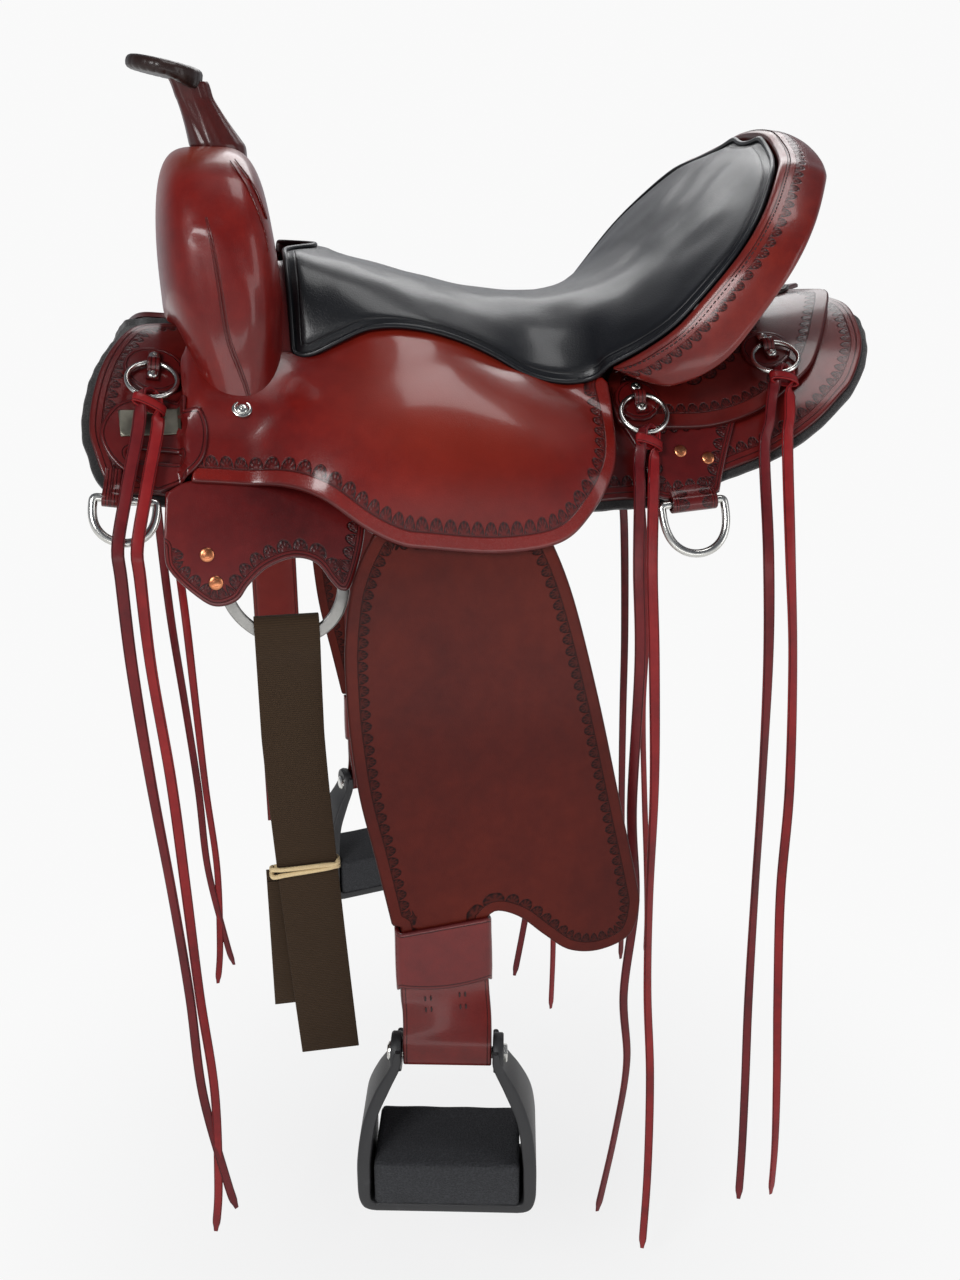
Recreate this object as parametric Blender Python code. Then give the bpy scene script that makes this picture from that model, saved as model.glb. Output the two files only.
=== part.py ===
"""Western trail saddle with stirrups, built as separate pieces. Metres, +Z up.

X runs to the rear, the near (left) side is -Y and Y = 0 is the centre plane.
The origin is the middle of the underside, where the saddle rests on the back.
Leather that lies on the horse is drawn flat, in (x, s, n): x along the saddle,
s the arc length from the spine and n the height above the underside. Each such
piece is then laid on the arched back. Pieces of the right side are mirrored.
"""

import math

import bmesh
import bpy
from mathutils import Matrix, Vector

# Arched underside
ARCH_RADIUS = 0.190
REAR_FLARE = 0.050
FLARE_START = 0.135
FLARE_LENGTH = 0.200
FLARE_RISE = 0.024
FLARE_REACH = 0.300
SIDE_ANGLE = math.radians(85)
GRID_X = 0.060
GRID_S = 0.030

# Layers, counted up from the underside
GAP = 0.0004
LINING_THICKNESS = 0.0066
SKIRT_THICKNESS = 0.0040
PLATE_THICKNESS = 0.0030
KEEPER_THICKNESS = 0.0026
LEATHER_THICKNESS = 0.0040
FLAP_THICKNESS = 0.0038
FENDER_THICKNESS = 0.0045
COVER_THICKNESS = 0.0030
SKIRT_IN = LINING_THICKNESS + GAP
SKIRT_OUT = SKIRT_IN + SKIRT_THICKNESS
PLATE_IN = SKIRT_OUT + GAP
PLATE_OUT = PLATE_IN + PLATE_THICKNESS
RIGGING_IN = PLATE_OUT + GAP
RIGGING_OUT = RIGGING_IN + LEATHER_THICKNESS
FLAP_OUT = PLATE_IN + FLAP_THICKNESS
BACK_IN = FLAP_OUT + GAP
BACK_OUT = BACK_IN + LEATHER_THICKNESS
STRAP_IN = RIGGING_OUT + 2 * GAP
STRAP_OUT = STRAP_IN + LEATHER_THICKNESS
FENDER_IN = STRAP_OUT + GAP
FENDER_OUT = FENDER_IN + FENDER_THICKNESS

# Tree
BAR_TOP = 0.026
BAR_THIN_TOP = BACK_IN - GAP
BAR_FRONT = -0.2400
BAR_REAR = 0.215
BAR_INNER = 0.055
BAR_OUTER = 0.112
FORK_FOOT_IN = 0.075
FORK_FOOT_OUT = 0.148
FORK_SEAT = 0.0016
CANTLE_BOARD = 0.013

# Stirrup leather and fender: they swing on a stud on the bar
STUD_X = -0.0575
STUD_Z = -0.110
STUD_RADIUS = 0.007
STUD_PLAY = 0.0004
STRAP_FRONT = -0.108
STRAP_WIDTH = 0.072
STRAP_ABOVE_STUD = 0.020
BOLT_Z = -0.534
BOLT_RADIUS = 0.005
BOLT_PLAY = 0.0013
BOLT_HEIGHT = 0.0311
STIRRUP_TURN = math.radians(12)
KEEPER_TOP = -0.4205
KEEPER_BOTTOM = -0.476

# Stirrup, measured from its bolt
STIRRUP_HALF_WIDTH = 0.0735
STIRRUP_DROP = 0.134
TREAD_DROP = 0.091
TREAD_DEPTH = 0.072
EAR_DEPTH = 0.034
PAD_THICKNESS = 0.0055

# Rings and dees
RING_WIRE = 0.0020
RING_RADIUS = 0.0180
RING_POINTS = 16
CLIP_WIDTH = 0.009
CLIP_THICKNESS = 0.0028
CLIP_HALF_LENGTH = 0.0145
CLIP_PLAY = 0.0012
SCREW_RADIUS = 0.0040
ROSETTE_THICKNESS = 0.0024
DEE_WIRE = 0.0032
DEE_X = -0.2885
DEE_S = 0.2125
CHAPE_X = -0.2985
CHAPE_WIDTH = 0.012
CHAPE_THICKNESS = 0.0022
CHAPE_PLAY = 0.0008
CHAPE_REACH = 0.022
RIG_RING_X = -0.181
RIG_RING_S = 0.259
RIG_RING_OUTER = 0.048
RIG_RING_BAND = 0.0090

# Straps that hang from the rigging rings
BILLET_WIDTH = 0.048
BILLET_PLY = 0.0025
BILLET_LENGTH = 0.377
BILLET_PLAY = 0.0034
BILLET_SLACK = 0.0045

# Saddle strings
LACE_RADIUS = 0.0026
LACE_TAIL_STEP = 0.038


def clear_scene():
    for obj in list(bpy.data.objects):
        bpy.data.objects.remove(obj, do_unlink=True)


def smoothstep(value):
    value = min(max(value, 0.0), 1.0)
    return value * value * (3 - 2 * value)


def arch_point(x, s, n):
    """Point n above the smooth underside, at arc length s; s > 0 is the left side."""
    radius = ARCH_RADIUS + REAR_FLARE * smoothstep((x - FLARE_START) / FLARE_LENGTH)
    angle = min(abs(s) / radius, SIDE_ANGLE)
    past = max(abs(s) - radius * SIDE_ANGLE, 0.0)
    y = (radius + n) * math.sin(angle) + past * math.cos(SIDE_ANGLE)
    z = (radius + n) * math.cos(angle) - radius - past * math.sin(SIDE_ANGLE)
    return Vector((x, -math.copysign(y, s), z + FLARE_RISE * (x / FLARE_REACH) ** 2))


def laid(x, s, n):
    """The same point on the faceted underside, made of triangles, that all layers share."""
    side = math.copysign(1.0, s)
    column, row = math.floor(x / GRID_X), math.floor(abs(s) / GRID_S)
    u, v = x / GRID_X - column, abs(s) / GRID_S - row

    def corner(i, j):
        return arch_point((column + i) * GRID_X, side * (row + j) * GRID_S, n)

    start, end = corner(0, 0), corner(1, 1)
    if u >= v:
        turn = corner(1, 0)
        return start + (turn - start) * u + (end - turn) * v
    turn = corner(0, 1)
    return start + (turn - start) * v + (end - turn) * u


def laid_frame(x, s, n):
    """Axes of a flat piece laid at that point: along the saddle, up the side, outward."""
    step = 0.010
    along = (arch_point(x + step, s, n) - arch_point(x - step, s, n)).normalized()
    up = arch_point(x, s - step, n) - arch_point(x, s + step, n)
    out = along.cross(up).normalized()
    up = out.cross(along)
    turn = Matrix((along, up, out)).transposed().to_4x4()
    return Matrix.Translation(laid(x, s, n)) @ turn


def arch_radius(x):
    return ARCH_RADIUS + REAR_FLARE * smoothstep((x - FLARE_START) / FLARE_LENGTH)


def side_height(x, s, depth):
    """Height n at which the arch coordinate s meets the plane of the hanging straps."""
    lean = SIDE_ANGLE - min(s / ARCH_RADIUS, SIDE_ANGLE)
    drop = ARCH_RADIUS * (1 - math.cos(lean))
    lift = FLARE_RISE * (x / FLARE_REACH) ** 2 * math.cos(SIDE_ANGLE)
    return (depth + drop - lift) / math.cos(lean)


def smooth_line(points, closed=False, steps=3):
    """Catmull-Rom points through the given ones; a point with a third True is a corner."""
    count = len(points)
    result = []
    spans = count if closed else count - 1
    for i in range(spans):
        a = Vector(points[i][:2])
        b = Vector(points[(i + 1) % count][:2])
        before = Vector(points[(i - 1) % count][:2]) if closed or i > 0 else a
        after = Vector(points[(i + 2) % count][:2]) if closed or i < spans - 1 else b
        leave = (b - a) if len(points[i]) > 2 else (b - before) / 2
        arrive = (b - a) if len(points[(i + 1) % count]) > 2 else (after - a) / 2
        for k in range(steps):
            t = k / steps
            h = (2 * t ** 3 - 3 * t ** 2 + 1, t ** 3 - 2 * t ** 2 + t,
                 3 * t ** 2 - 2 * t ** 3, t ** 3 - t ** 2)
            result.append(h[0] * a + h[1] * leave + h[2] * b + h[3] * arrive)
    if not closed:
        result.append(Vector(points[-1][:2]))
    return [tuple(p) for p in result]


def circle_line(x, s, radius, count=20):
    return [(x + radius * math.cos(2 * math.pi * k / count),
             s + radius * math.sin(2 * math.pi * k / count)) for k in range(count)]


def material(name, color, roughness, metallic=0.0):
    found = bpy.data.materials.get(name)
    if found:
        return found
    made = bpy.data.materials.new(name)
    made.use_nodes = True
    shader = made.node_tree.nodes["Principled BSDF"]
    shader.inputs["Base Color"].default_value = (*color, 1)
    shader.inputs["Roughness"].default_value = roughness
    shader.inputs["Metallic"].default_value = metallic
    made.diffuse_color = (*color, 1)
    made.roughness = roughness
    made.metallic = metallic
    return made


OXBLOOD = ("oxblood_leather", (0.165, 0.022, 0.020), 0.38)
SKIRT_LEATHER = ("skirt_leather", (0.145, 0.020, 0.018), 0.42)
DARK_LEATHER = ("fender_leather", (0.060, 0.014, 0.011), 0.45)
HORN_LEATHER = ("horn_leather", (0.030, 0.012, 0.008), 0.40)
SEAT_LEATHER = ("seat_leather", (0.012, 0.013, 0.017), 0.42)
LACE_LEATHER = ("lace_leather", (0.240, 0.022, 0.022), 0.45)
FLEECE = ("fleece", (0.020, 0.019, 0.018), 0.95)
WOOD = ("tree_wood", (0.420, 0.270, 0.140), 0.70)
STEEL = ("stainless_steel", (0.620, 0.610, 0.590), 0.22, 1.0)
WEBBING = ("webbing", (0.030, 0.022, 0.012), 0.85)
RUBBER = ("rubber", (0.020, 0.020, 0.021), 0.80)
PLASTIC = ("moulded_plastic", (0.012, 0.012, 0.013), 0.50)


def make_object(name, bm, finish, origin=None):
    """Makes an object of the bmesh; its origin is the given point, in world axes."""
    bmesh.ops.recalc_face_normals(bm, faces=bm.faces)
    if bm.calc_volume(signed=True) < 0:
        bmesh.ops.reverse_faces(bm, faces=bm.faces)
    if origin is not None:
        bmesh.ops.translate(bm, verts=bm.verts, vec=-Vector(origin))
    mesh = bpy.data.meshes.new(name)
    bm.to_mesh(mesh)
    bm.free()
    obj = bpy.data.objects.new(name, mesh)
    obj.data.materials.append(material(*finish))
    if origin is not None:
        obj.location = origin
    SADDLE.objects.link(obj)
    return obj


def mirror_mesh(obj, name):
    """The right-hand twin of a left-hand piece."""
    bm = bmesh.new()
    bm.from_mesh(obj.data)
    bmesh.ops.scale(bm, vec=(1, -1, 1), verts=bm.verts)
    bmesh.ops.reverse_faces(bm, faces=bm.faces)
    mesh = bpy.data.meshes.new(name)
    bm.to_mesh(mesh)
    bm.free()
    twin = bpy.data.objects.new(name, mesh)
    for slot in obj.data.materials:
        twin.data.materials.append(slot)
    twin.location = (obj.location.x, -obj.location.y, obj.location.z)
    SADDLE.objects.link(twin)
    return twin


def pair(obj):
    """Gives a left-hand piece and its twin, named _left and _right."""
    base = obj.name
    obj.name = base + "_left"
    obj.data.name = obj.name
    return obj, mirror_mesh(obj, base + "_right")


def hang(child, parent):
    """Parents child to parent and leaves it where it is."""
    bpy.context.view_layer.update()
    world = child.matrix_world.copy()
    child.parent = parent
    child.matrix_parent_inverse = parent.matrix_world.inverted()
    child.matrix_world = world


def flat_slab(outlines):
    """A slab from z = 0 to 1 over closed outlines; the ones after the first are holes."""
    bm = bmesh.new()
    for outline in outlines:
        verts = [bm.verts.new((x, y, 0)) for x, y in outline]
        for a, b in zip(verts, verts[1:] + verts[:1]):
            bm.edges.new((a, b))
    if len(outlines) == 1:
        bm.faces.new(bm.verts)
    else:
        bmesh.ops.triangle_fill(bm, use_beauty=True, edges=bm.edges)
        bmesh.ops.dissolve_limit(bm, angle_limit=0.01, verts=bm.verts, edges=bm.edges)
    faces = list(bm.faces)
    grown = bmesh.ops.extrude_face_region(bm, geom=faces, use_keep_orig=True)
    verts = [g for g in grown["geom"] if isinstance(g, bmesh.types.BMVert)]
    bmesh.ops.translate(bm, verts=verts, vec=(0, 0, 1))
    bmesh.ops.recalc_face_normals(bm, faces=bm.faces)
    return bm


def cut_on_grid(bm, axis, step):
    values = [v.co[axis] for v in bm.verts]
    line = math.ceil(min(values) / step + 0.01)
    while line * step < max(values) - 0.01 * step:
        place = Vector((0, 0, 0))
        place[axis] = line * step
        normal = Vector((0, 0, 0))
        normal[axis] = 1
        geometry = list(bm.verts) + list(bm.edges) + list(bm.faces)
        bmesh.ops.bisect_plane(bm, geom=geometry, dist=1e-6, plane_co=place, plane_no=normal)
        line += 1


def cut_on_diagonals(bm):
    """Cuts along the diagonals of the grid, so that every cut face stays flat when laid."""
    for side in (1, -1):
        faces = [f for f in bm.faces if f.calc_center_median().y * side > 0]
        if not faces:
            continue
        values = [v.co.x / GRID_X - side * v.co.y / GRID_S for f in faces for v in f.verts]
        for k in range(math.ceil(min(values) + 0.01), math.ceil(max(values) - 0.01)):
            faces = [f for f in bm.faces if f.calc_center_median().y * side > 0]
            geometry = set(faces)
            for face in faces:
                geometry.update(face.verts)
                geometry.update(face.edges)
            normal = Vector((1 / GRID_X, -side / GRID_S, 0))
            bmesh.ops.bisect_plane(bm, geom=list(geometry), dist=1e-6,
                                   plane_co=(k * GRID_X, 0, 0), plane_no=normal)


def panel(name, outlines, inner, outer, finish):
    """Leather or plate between the heights inner and outer, laid on the arched back."""
    low = inner if callable(inner) else lambda x, s: inner
    high = outer if callable(outer) else lambda x, s: outer
    bm = flat_slab(outlines)
    cut_on_grid(bm, 0, GRID_X)
    cut_on_grid(bm, 1, GRID_S)
    cut_on_diagonals(bm)
    bmesh.ops.triangulate(bm, faces=bm.faces)
    for v in bm.verts:
        x, s, share = v.co
        n = low(x, s) * (1 - share) + high(x, s) * share
        v.co = laid(x, s, n)
    return make_object(name, bm, finish)


def grid_solid(name, top, bottom, finish, closed=False):
    """A closed solid between two grids of points, rows by columns.

    With closed True the columns run round a tube, top being the only grid."""
    bm = bmesh.new()
    sheets = [[[bm.verts.new(p) for p in row] for row in sheet]
              for sheet in ((top,) if closed else (top, bottom))]
    for sheet in sheets:
        for a, b in zip(sheet, sheet[1:]):
            columns = len(a) if closed else len(a) - 1
            for k in range(columns):
                j = (k + 1) % len(a)
                bm.faces.new((a[k], a[j], b[j], b[k]))
    if closed:
        for loop in (sheets[0][0], sheets[0][-1]):
            for i in range((len(loop) - 1) // 2):
                corners = (loop[i], loop[i + 1], loop[-2 - i], loop[-1 - i])
                bm.faces.new(dict.fromkeys(corners))
    else:
        rim = [rim_of(sheet) for sheet in sheets]
        for k in range(len(rim[0])):
            j = (k + 1) % len(rim[0])
            bm.faces.new((rim[0][k], rim[0][j], rim[1][j], rim[1][k]))
    return make_object(name, bm, finish)


def rim_of(sheet):
    last = len(sheet[0]) - 1
    return (sheet[0][:-1] + [row[last] for row in sheet[:-1]]
            + sheet[-1][:0:-1] + [row[0] for row in sheet[:0:-1]])


def mesh_of_curve(curve_data, transform):
    """Turns a curve into a welded bmesh in world axes and removes the curve."""
    obj = bpy.data.objects.new("outline", curve_data)
    SADDLE.objects.link(obj)
    bpy.context.view_layer.update()
    mesh = bpy.data.meshes.new_from_object(obj.evaluated_get(
        bpy.context.evaluated_depsgraph_get()))
    bpy.data.objects.remove(obj, do_unlink=True)
    bm = bmesh.new()
    bm.from_mesh(mesh)
    bpy.data.meshes.remove(mesh)
    bmesh.ops.remove_doubles(bm, verts=bm.verts, dist=1e-5)
    bmesh.ops.transform(bm, matrix=transform, verts=bm.verts)
    bmesh.ops.recalc_face_normals(bm, faces=bm.faces)
    return bm


def extruded(outlines, half_thickness, transform=Matrix.Identity(4)):
    """A flat outline with its holes, filled and extruded both ways along local Z."""
    curve = bpy.data.curves.new("outline", "CURVE")
    curve.dimensions = "2D"
    curve.fill_mode = "BOTH"
    curve.extrude = half_thickness
    for outline in outlines:
        spline = curve.splines.new("POLY")
        spline.points.add(len(outline) - 1)
        for point, (x, y) in zip(spline.points, outline):
            point.co = (x, y, 0, 1)
        spline.use_cyclic_u = True
    return mesh_of_curve(curve, transform)


def tube(points, radius, closed=False, resolution=2, transform=Matrix.Identity(4)):
    curve = bpy.data.curves.new("wire", "CURVE")
    curve.dimensions = "3D"
    curve.bevel_depth = radius
    curve.bevel_resolution = resolution
    curve.use_fill_caps = not closed
    spline = curve.splines.new("POLY")
    spline.points.add(len(points) - 1)
    for point, co in zip(spline.points, points):
        point.co = (*co, 1)
    spline.use_cyclic_u = closed
    return mesh_of_curve(curve, transform)


def cylinder(radius, length, transform, segments=16, radius_top=None):
    bm = bmesh.new()
    bmesh.ops.create_cone(bm, cap_ends=True, segments=segments, radius1=radius,
                          radius2=radius if radius_top is None else radius_top,
                          depth=length, matrix=transform)
    return bm


def cut_or_join(obj, tools, operation):
    """Applies exact booleans with bmesh tools, in world axes."""
    for k, tool in enumerate(tools):
        mesh = bpy.data.meshes.new("cutter")
        bmesh.ops.recalc_face_normals(tool, faces=tool.faces)
        tool.to_mesh(mesh)
        tool.free()
        cutter = bpy.data.objects.new("cutter", mesh)
        cutter.hide_render = True
        cutter.display_type = "WIRE"
        CUTTERS.objects.link(cutter)
        boolean = obj.modifiers.new("boolean", "BOOLEAN")
        boolean.operation = operation
        boolean.solver = "EXACT"
        boolean.object = cutter
        bpy.context.view_layer.update()
        result = bpy.data.meshes.new_from_object(obj.evaluated_get(
            bpy.context.evaluated_depsgraph_get()))
        obj.modifiers.clear()
        old = obj.data
        obj.data = result
        result.name = obj.name
        bpy.data.meshes.remove(old)
        bpy.data.objects.remove(cutter, do_unlink=True)
        bpy.data.meshes.remove(mesh)
    return obj


def side_frame(x, z, n):
    """Axes of the plane in which the straps hang, at a point given by its x and z."""
    foot = arch_point(0, ARCH_RADIUS * SIDE_ANGLE, 0)
    normal = Vector((0, -math.sin(SIDE_ANGLE), math.cos(SIDE_ANGLE)))
    base = foot + normal * n
    down = (base.z - z) / math.sin(SIDE_ANGLE)
    spot = Vector((x, base.y - down * math.cos(SIDE_ANGLE), z))
    return Matrix.Translation(spot) @ Matrix.Rotation(SIDE_ANGLE, 4, "X")


def on_side(x, z):
    """Flat coordinates in the strap plane for a point seen at x and height z."""
    return x - STUD_X, (z - STUD_Z) / math.sin(SIDE_ANGLE)


# Skirts and lining
SKIRT_EDGE = [
    (-0.236, 0.020, True), (-0.242, 0.026), (-0.266, 0.034), (-0.283, 0.049), (-0.299, 0.090),
    (-0.308, 0.127), (-0.312, 0.161), (-0.308, 0.182), (-0.301, 0.200), (-0.286, 0.207),
    (-0.264, 0.206), (-0.230, 0.212), (-0.150, 0.215), (-0.060, 0.214), (0.020, 0.210),
    (0.070, 0.208), (0.110, 0.209), (0.136, 0.205), (0.161, 0.197), (0.197, 0.191),
    (0.217, 0.185), (0.242, 0.174), (0.262, 0.160), (0.278, 0.146), (0.296, 0.117),
    (0.305, 0.087), (0.311, 0.049), (0.306, 0.020, True)]
LINING_GROWTH = 0.006


def grown(outline, by, limit):
    """Moves a closed outline outward by an amount, but leaves what is below the limit s."""
    count = len(outline)
    moved = []
    for k in range(count):
        a = Vector(outline[k - 1])
        b = Vector(outline[(k + 1) % count])
        along = (b - a).normalized()
        out = Vector((-along.y, along.x))
        share = smoothstep((outline[k][1] - limit) / 0.02)
        moved.append(tuple(Vector(outline[k]) + out * by * share))
    return moved


def build_skirts():
    edge = smooth_line(SKIRT_EDGE, closed=True, steps=2)
    pair(panel("skirt", [edge], SKIRT_IN, SKIRT_OUT, SKIRT_LEATHER))
    coarse = smooth_line(SKIRT_EDGE, closed=True, steps=1)
    lining = grown(coarse, LINING_GROWTH, 0.05)
    pair(panel("skirt_lining", [lining], 0.0, LINING_THICKNESS, FLEECE))


# Rigging
RIGGING_EDGE = [
    (-0.2605, 0.206, True), (-0.2605, 0.2465, True), (-0.2760, 0.2475, True),
    (-0.259, 0.261), (-0.241, 0.275), (-0.229, 0.279),
    (-0.215, 0.274), (-0.206, 0.263), (-0.192, 0.251), (-0.173, 0.244), (-0.157, 0.247),
    (-0.147, 0.259), (-0.140, 0.265), (-0.132, 0.261), (-0.121, 0.229), (-0.119, 0.200),
    (-0.126, 0.180, True), (-0.225, 0.180, True), (-0.228, 0.190), (-0.248, 0.198)]


def rig_ring_outline():
    """Outer edge of the rigging plate: a ring with a tab that runs up under the leather."""
    tab = [(-0.028, 0.198), (0.028, 0.198)]
    points = [(RIG_RING_X + x, s) for x, s in tab]
    start = math.radians(-40)
    sweep = math.radians(260)
    for k in range(21):
        angle = start + sweep * k / 20
        points.append((RIG_RING_X + RIG_RING_OUTER * math.cos(angle),
                       RIG_RING_S + RIG_RING_OUTER * math.sin(angle)))
    return points


def build_rigging():
    ring = rig_ring_outline()
    hole = circle_line(RIG_RING_X, RIG_RING_S, RIG_RING_OUTER - RIG_RING_BAND, 24)
    pair(panel("rigging_plate", [ring, hole], PLATE_IN, PLATE_OUT, STEEL))
    edge = smooth_line(RIGGING_EDGE, closed=True, steps=2)
    pair(panel("rigging_leather", [edge], RIGGING_IN, RIGGING_OUT, OXBLOOD))
    keeper = smooth_line([
        (-0.266, 0.132), (-0.291, 0.141), (-0.304, 0.163), (-0.299, 0.182), (-0.284, 0.196),
        (-0.266, 0.2055, True), (-0.246, 0.196), (-0.232, 0.182), (-0.228, 0.163),
        (-0.232, 0.1505, True), (-0.2430, 0.1505, True), (-0.2440, 0.138)],
        closed=True, steps=2)
    slot = [(-0.284, 0.1765), (-0.250, 0.1765), (-0.250, 0.1825), (-0.284, 0.1825)]
    disc = panel("latigo_keeper", [keeper, slot], PLATE_IN,
                 PLATE_IN + KEEPER_THICKNESS, OXBLOOD)
    disc.name = "latigo_keeper_left"


# Straps that hang from the rigging ring
def billet(name, length, finish):
    """A strap folded round the lowest part of the rigging ring, and its hinge point."""
    centre_s = RIG_RING_S + RIG_RING_OUTER - RIG_RING_BAND / 2
    sag = (RIG_RING_OUTER - RIG_RING_BAND) - math.sqrt(
        (RIG_RING_OUTER - RIG_RING_BAND) ** 2 - (BILLET_WIDTH / 2) ** 2)
    middle_n = (PLATE_IN + PLATE_OUT) / 2
    hinge = laid(RIG_RING_X, centre_s - sag / 2, middle_n)
    half_hole = PLATE_THICKNESS / 2 + BILLET_PLAY
    hole_up = (RIG_RING_BAND + sag) / 2 + BILLET_SLACK
    hole = [(-half_hole, -hole_up), (half_hole, -hole_up), (half_hole * 1.05, hole_up * 0.6),
            (half_hole * 0.9, hole_up), (-half_hole * 0.9, hole_up),
            (-half_hole * 1.05, hole_up * 0.6)]
    hole = hole + [(-half_hole * 0.5, -hole_up - 0.012), (half_hole * 0.5, -hole_up - 0.012)]
    hole = [hole[6], hole[7], hole[1], hole[2], hole[3], hole[4], hole[5], hole[0]]
    wide = half_hole + BILLET_PLY
    thin = BILLET_PLY + 0.0002
    outer = [(-thin, -length), (thin, -length), (thin, -hole_up - 0.030),
             (wide, -hole_up), (wide * 1.05, hole_up * 0.6),
             (half_hole * 0.9 + BILLET_PLY * 0.8, hole_up + BILLET_PLY * 0.8),
             (0, hole_up + BILLET_PLY),
             (-half_hole * 0.9 - BILLET_PLY * 0.8, hole_up + BILLET_PLY * 0.8),
             (-wide * 1.05, hole_up * 0.6), (-wide, -hole_up), (-thin, -hole_up - 0.030)]
    up = Matrix.Rotation(math.pi / 2, 4, "X")
    stand = Matrix(((0, 0, 1, 0), (0, 1, 0, 0), (1, 0, 0, 0), (0, 0, 0, 1)))
    place = Matrix.Translation(hinge) @ up @ stand
    bm = extruded([outer, hole], BILLET_WIDTH / 2, place)
    return make_object(name, bm, finish, origin=hinge)


def build_billets():
    billet("latigo_left", BILLET_LENGTH, WEBBING)
    twin = billet("off_billet", BILLET_LENGTH, OXBLOOD)
    mirror_mesh(twin, "off_billet_right")
    bpy.data.objects.remove(twin, do_unlink=True)


# Dees
def dee(x, s, n, width, depth, splay):
    """A wire dee with its straight bar along X at (x, s); it hangs down the side."""
    half = width / 2
    points = [(-half, 0), (-half * 0.5, 0), (half * 0.5, 0), (half, 0)]
    for k in range(1, 12):
        angle = math.pi * k / 12
        points.append((half * math.cos(angle) * (1 + splay * math.sin(angle)),
                       -depth * math.sin(angle) ** 0.75))
    frame = laid_frame(x, s, n)
    bm = tube([(a, b, 0) for a, b in points], DEE_WIRE, closed=True, resolution=1,
              transform=frame)
    return bm, frame.translation


def build_dees():
    lift = GAP + DEE_WIRE
    bm, spot = dee(DEE_X, DEE_S, SKIRT_OUT + lift, 0.044, 0.031, 0.10)
    front = make_object("front_dee", bm, STEEL, origin=spot)
    pair(front)
    hole = DEE_WIRE + CHAPE_PLAY
    over = hole + CHAPE_THICKNESS
    top = CHAPE_THICKNESS - lift
    base = -lift - 0.0010
    tab = [(CHAPE_REACH, base), (CHAPE_REACH, top)]
    start, end = math.asin(top / over), 2 * math.pi + math.asin(base / over)
    for k in range(15):
        angle = start + (end - start) * k / 14
        tab.append((over * math.cos(angle), over * math.sin(angle)))
    eye = [(hole * math.cos(math.pi * k / 6), hole * math.sin(math.pi * k / 6))
           for k in range(12)]
    stand = Matrix(((0, 0, 1, 0), (1, 0, 0, 0), (0, 1, 0, 0), (0, 0, 0, 1)))
    for name in ("skirt_left", "skirt_right"):
        side = 1 if name == "skirt_left" else -1
        flip = Matrix.Scale(side, 4, (0, 1, 0))
        place = laid_frame(CHAPE_X, DEE_S, SKIRT_OUT + lift)
        chape = extruded([tab, eye], CHAPE_WIDTH / 2, flip @ place @ stand)
        if side < 0:
            bmesh.ops.reverse_faces(chape, faces=chape.faces)
        cut_or_join(bpy.data.objects[name], [chape], "UNION")
    bm, spot = dee(0.134, 0.2165, PLATE_IN + DEE_WIRE, 0.050, 0.040, 0.10)
    rear = make_object("rear_dee", bm, STEEL, origin=spot)
    pair(rear)


# Rear pieces on the back
REAR_FLAP = [
    (0.086, 0.150, True), (0.098, 0.180), (0.103, 0.206), (0.113, 0.2125, True),
    (0.156, 0.2125, True), (0.160, 0.200), (0.168, 0.180), (0.182, 0.150, True)]
BACK_HALF = [
    (0.271, 0.0, True), (0.277, 0.004), (0.301, 0.026, True), (0.297, 0.042), (0.276, 0.082),
    (0.251, 0.124), (0.229, 0.142), (0.196, 0.158), (0.160, 0.163), (0.120, 0.160),
    (0.090, 0.156), (0.081, 0.146), (0.081, 0.116), (0.090, 0.100, True),
    (0.120, 0.102), (0.150, 0.108), (0.170, 0.099), (0.188, 0.083), (0.204, 0.064),
    (0.216, 0.042), (0.223, 0.020), (0.224, 0.0, True)]


def build_back():
    pair(panel("rear_rigging_leather", [smooth_line(REAR_FLAP, True, 2)],
               PLATE_IN, FLAP_OUT, OXBLOOD))
    half = smooth_line(BACK_HALF, closed=False, steps=1)
    outline = half + [(x, -s) for x, s in half[-2:0:-1]]
    panel("back_jockey", [outline], BACK_IN, BACK_OUT, OXBLOOD)
    tongue = [(0.2475, 0.0), (0.2475, 0.012), (0.256, 0.017), (0.270, 0.014), (0.280, 0.0)]
    tongue = tongue + [(x, -s) for x, s in tongue[-2:0:-1]]
    panel("back_tongue", [tongue], BACK_OUT + GAP, BACK_OUT + GAP + 0.003, OXBLOOD)


# Seat jockeys: the sheet stands off the stirrup leathers under it
JOCKEY_EDGE = [
    (-0.2425, 0.158, True), (-0.2385, 0.178), (-0.242, 0.198, True), (-0.212, 0.1975),
    (-0.182, 0.199), (-0.152, 0.209), (-0.122, 0.226), (-0.097, 0.2355), (-0.075, 0.238),
    (-0.023, 0.2415), (0.022, 0.237), (0.047, 0.220), (0.065, 0.198), (0.073, 0.178),
    (0.077, 0.150), (0.077, 0.127, True), (0.045, 0.121), (0.010, 0.113), (-0.020, 0.104),
    (-0.060, 0.098), (-0.110, 0.101), (-0.152, 0.110, True), (-0.158, 0.150, True)]
JOCKEY_S = (0.100, 0.125, 0.150, 0.175, 0.200, 0.225, 0.250)
JOCKEY_HEIGHT = {
    -0.25: (19.4, 19.4, 19.4, 19.3, 19.3, 19.3, 19.3),
    -0.20: (22.0, 21.0, 20.0, 19.5, 19.5, 19.5, 19.5),
    -0.15: (30.0, 35.0, 41.0, 45.0, 46.0, 39.5, 34.0),
    -0.10: (40.0, 47.0, 52.0, 53.0, 51.0, 41.0, 35.0),
    -0.05: (45.0, 49.0, 52.0, 53.0, 51.0, 41.0, 35.0),
    0.00: (27.0, 36.0, 45.0, 50.0, 50.0, 41.0, 35.0),
    0.05: (15.0, 18.0, 30.0, 40.0, 44.5, 39.0, 34.0),
    0.10: (16.0, 16.0, 18.0, 20.0, 22.0, 24.0, 24.0)}


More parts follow.
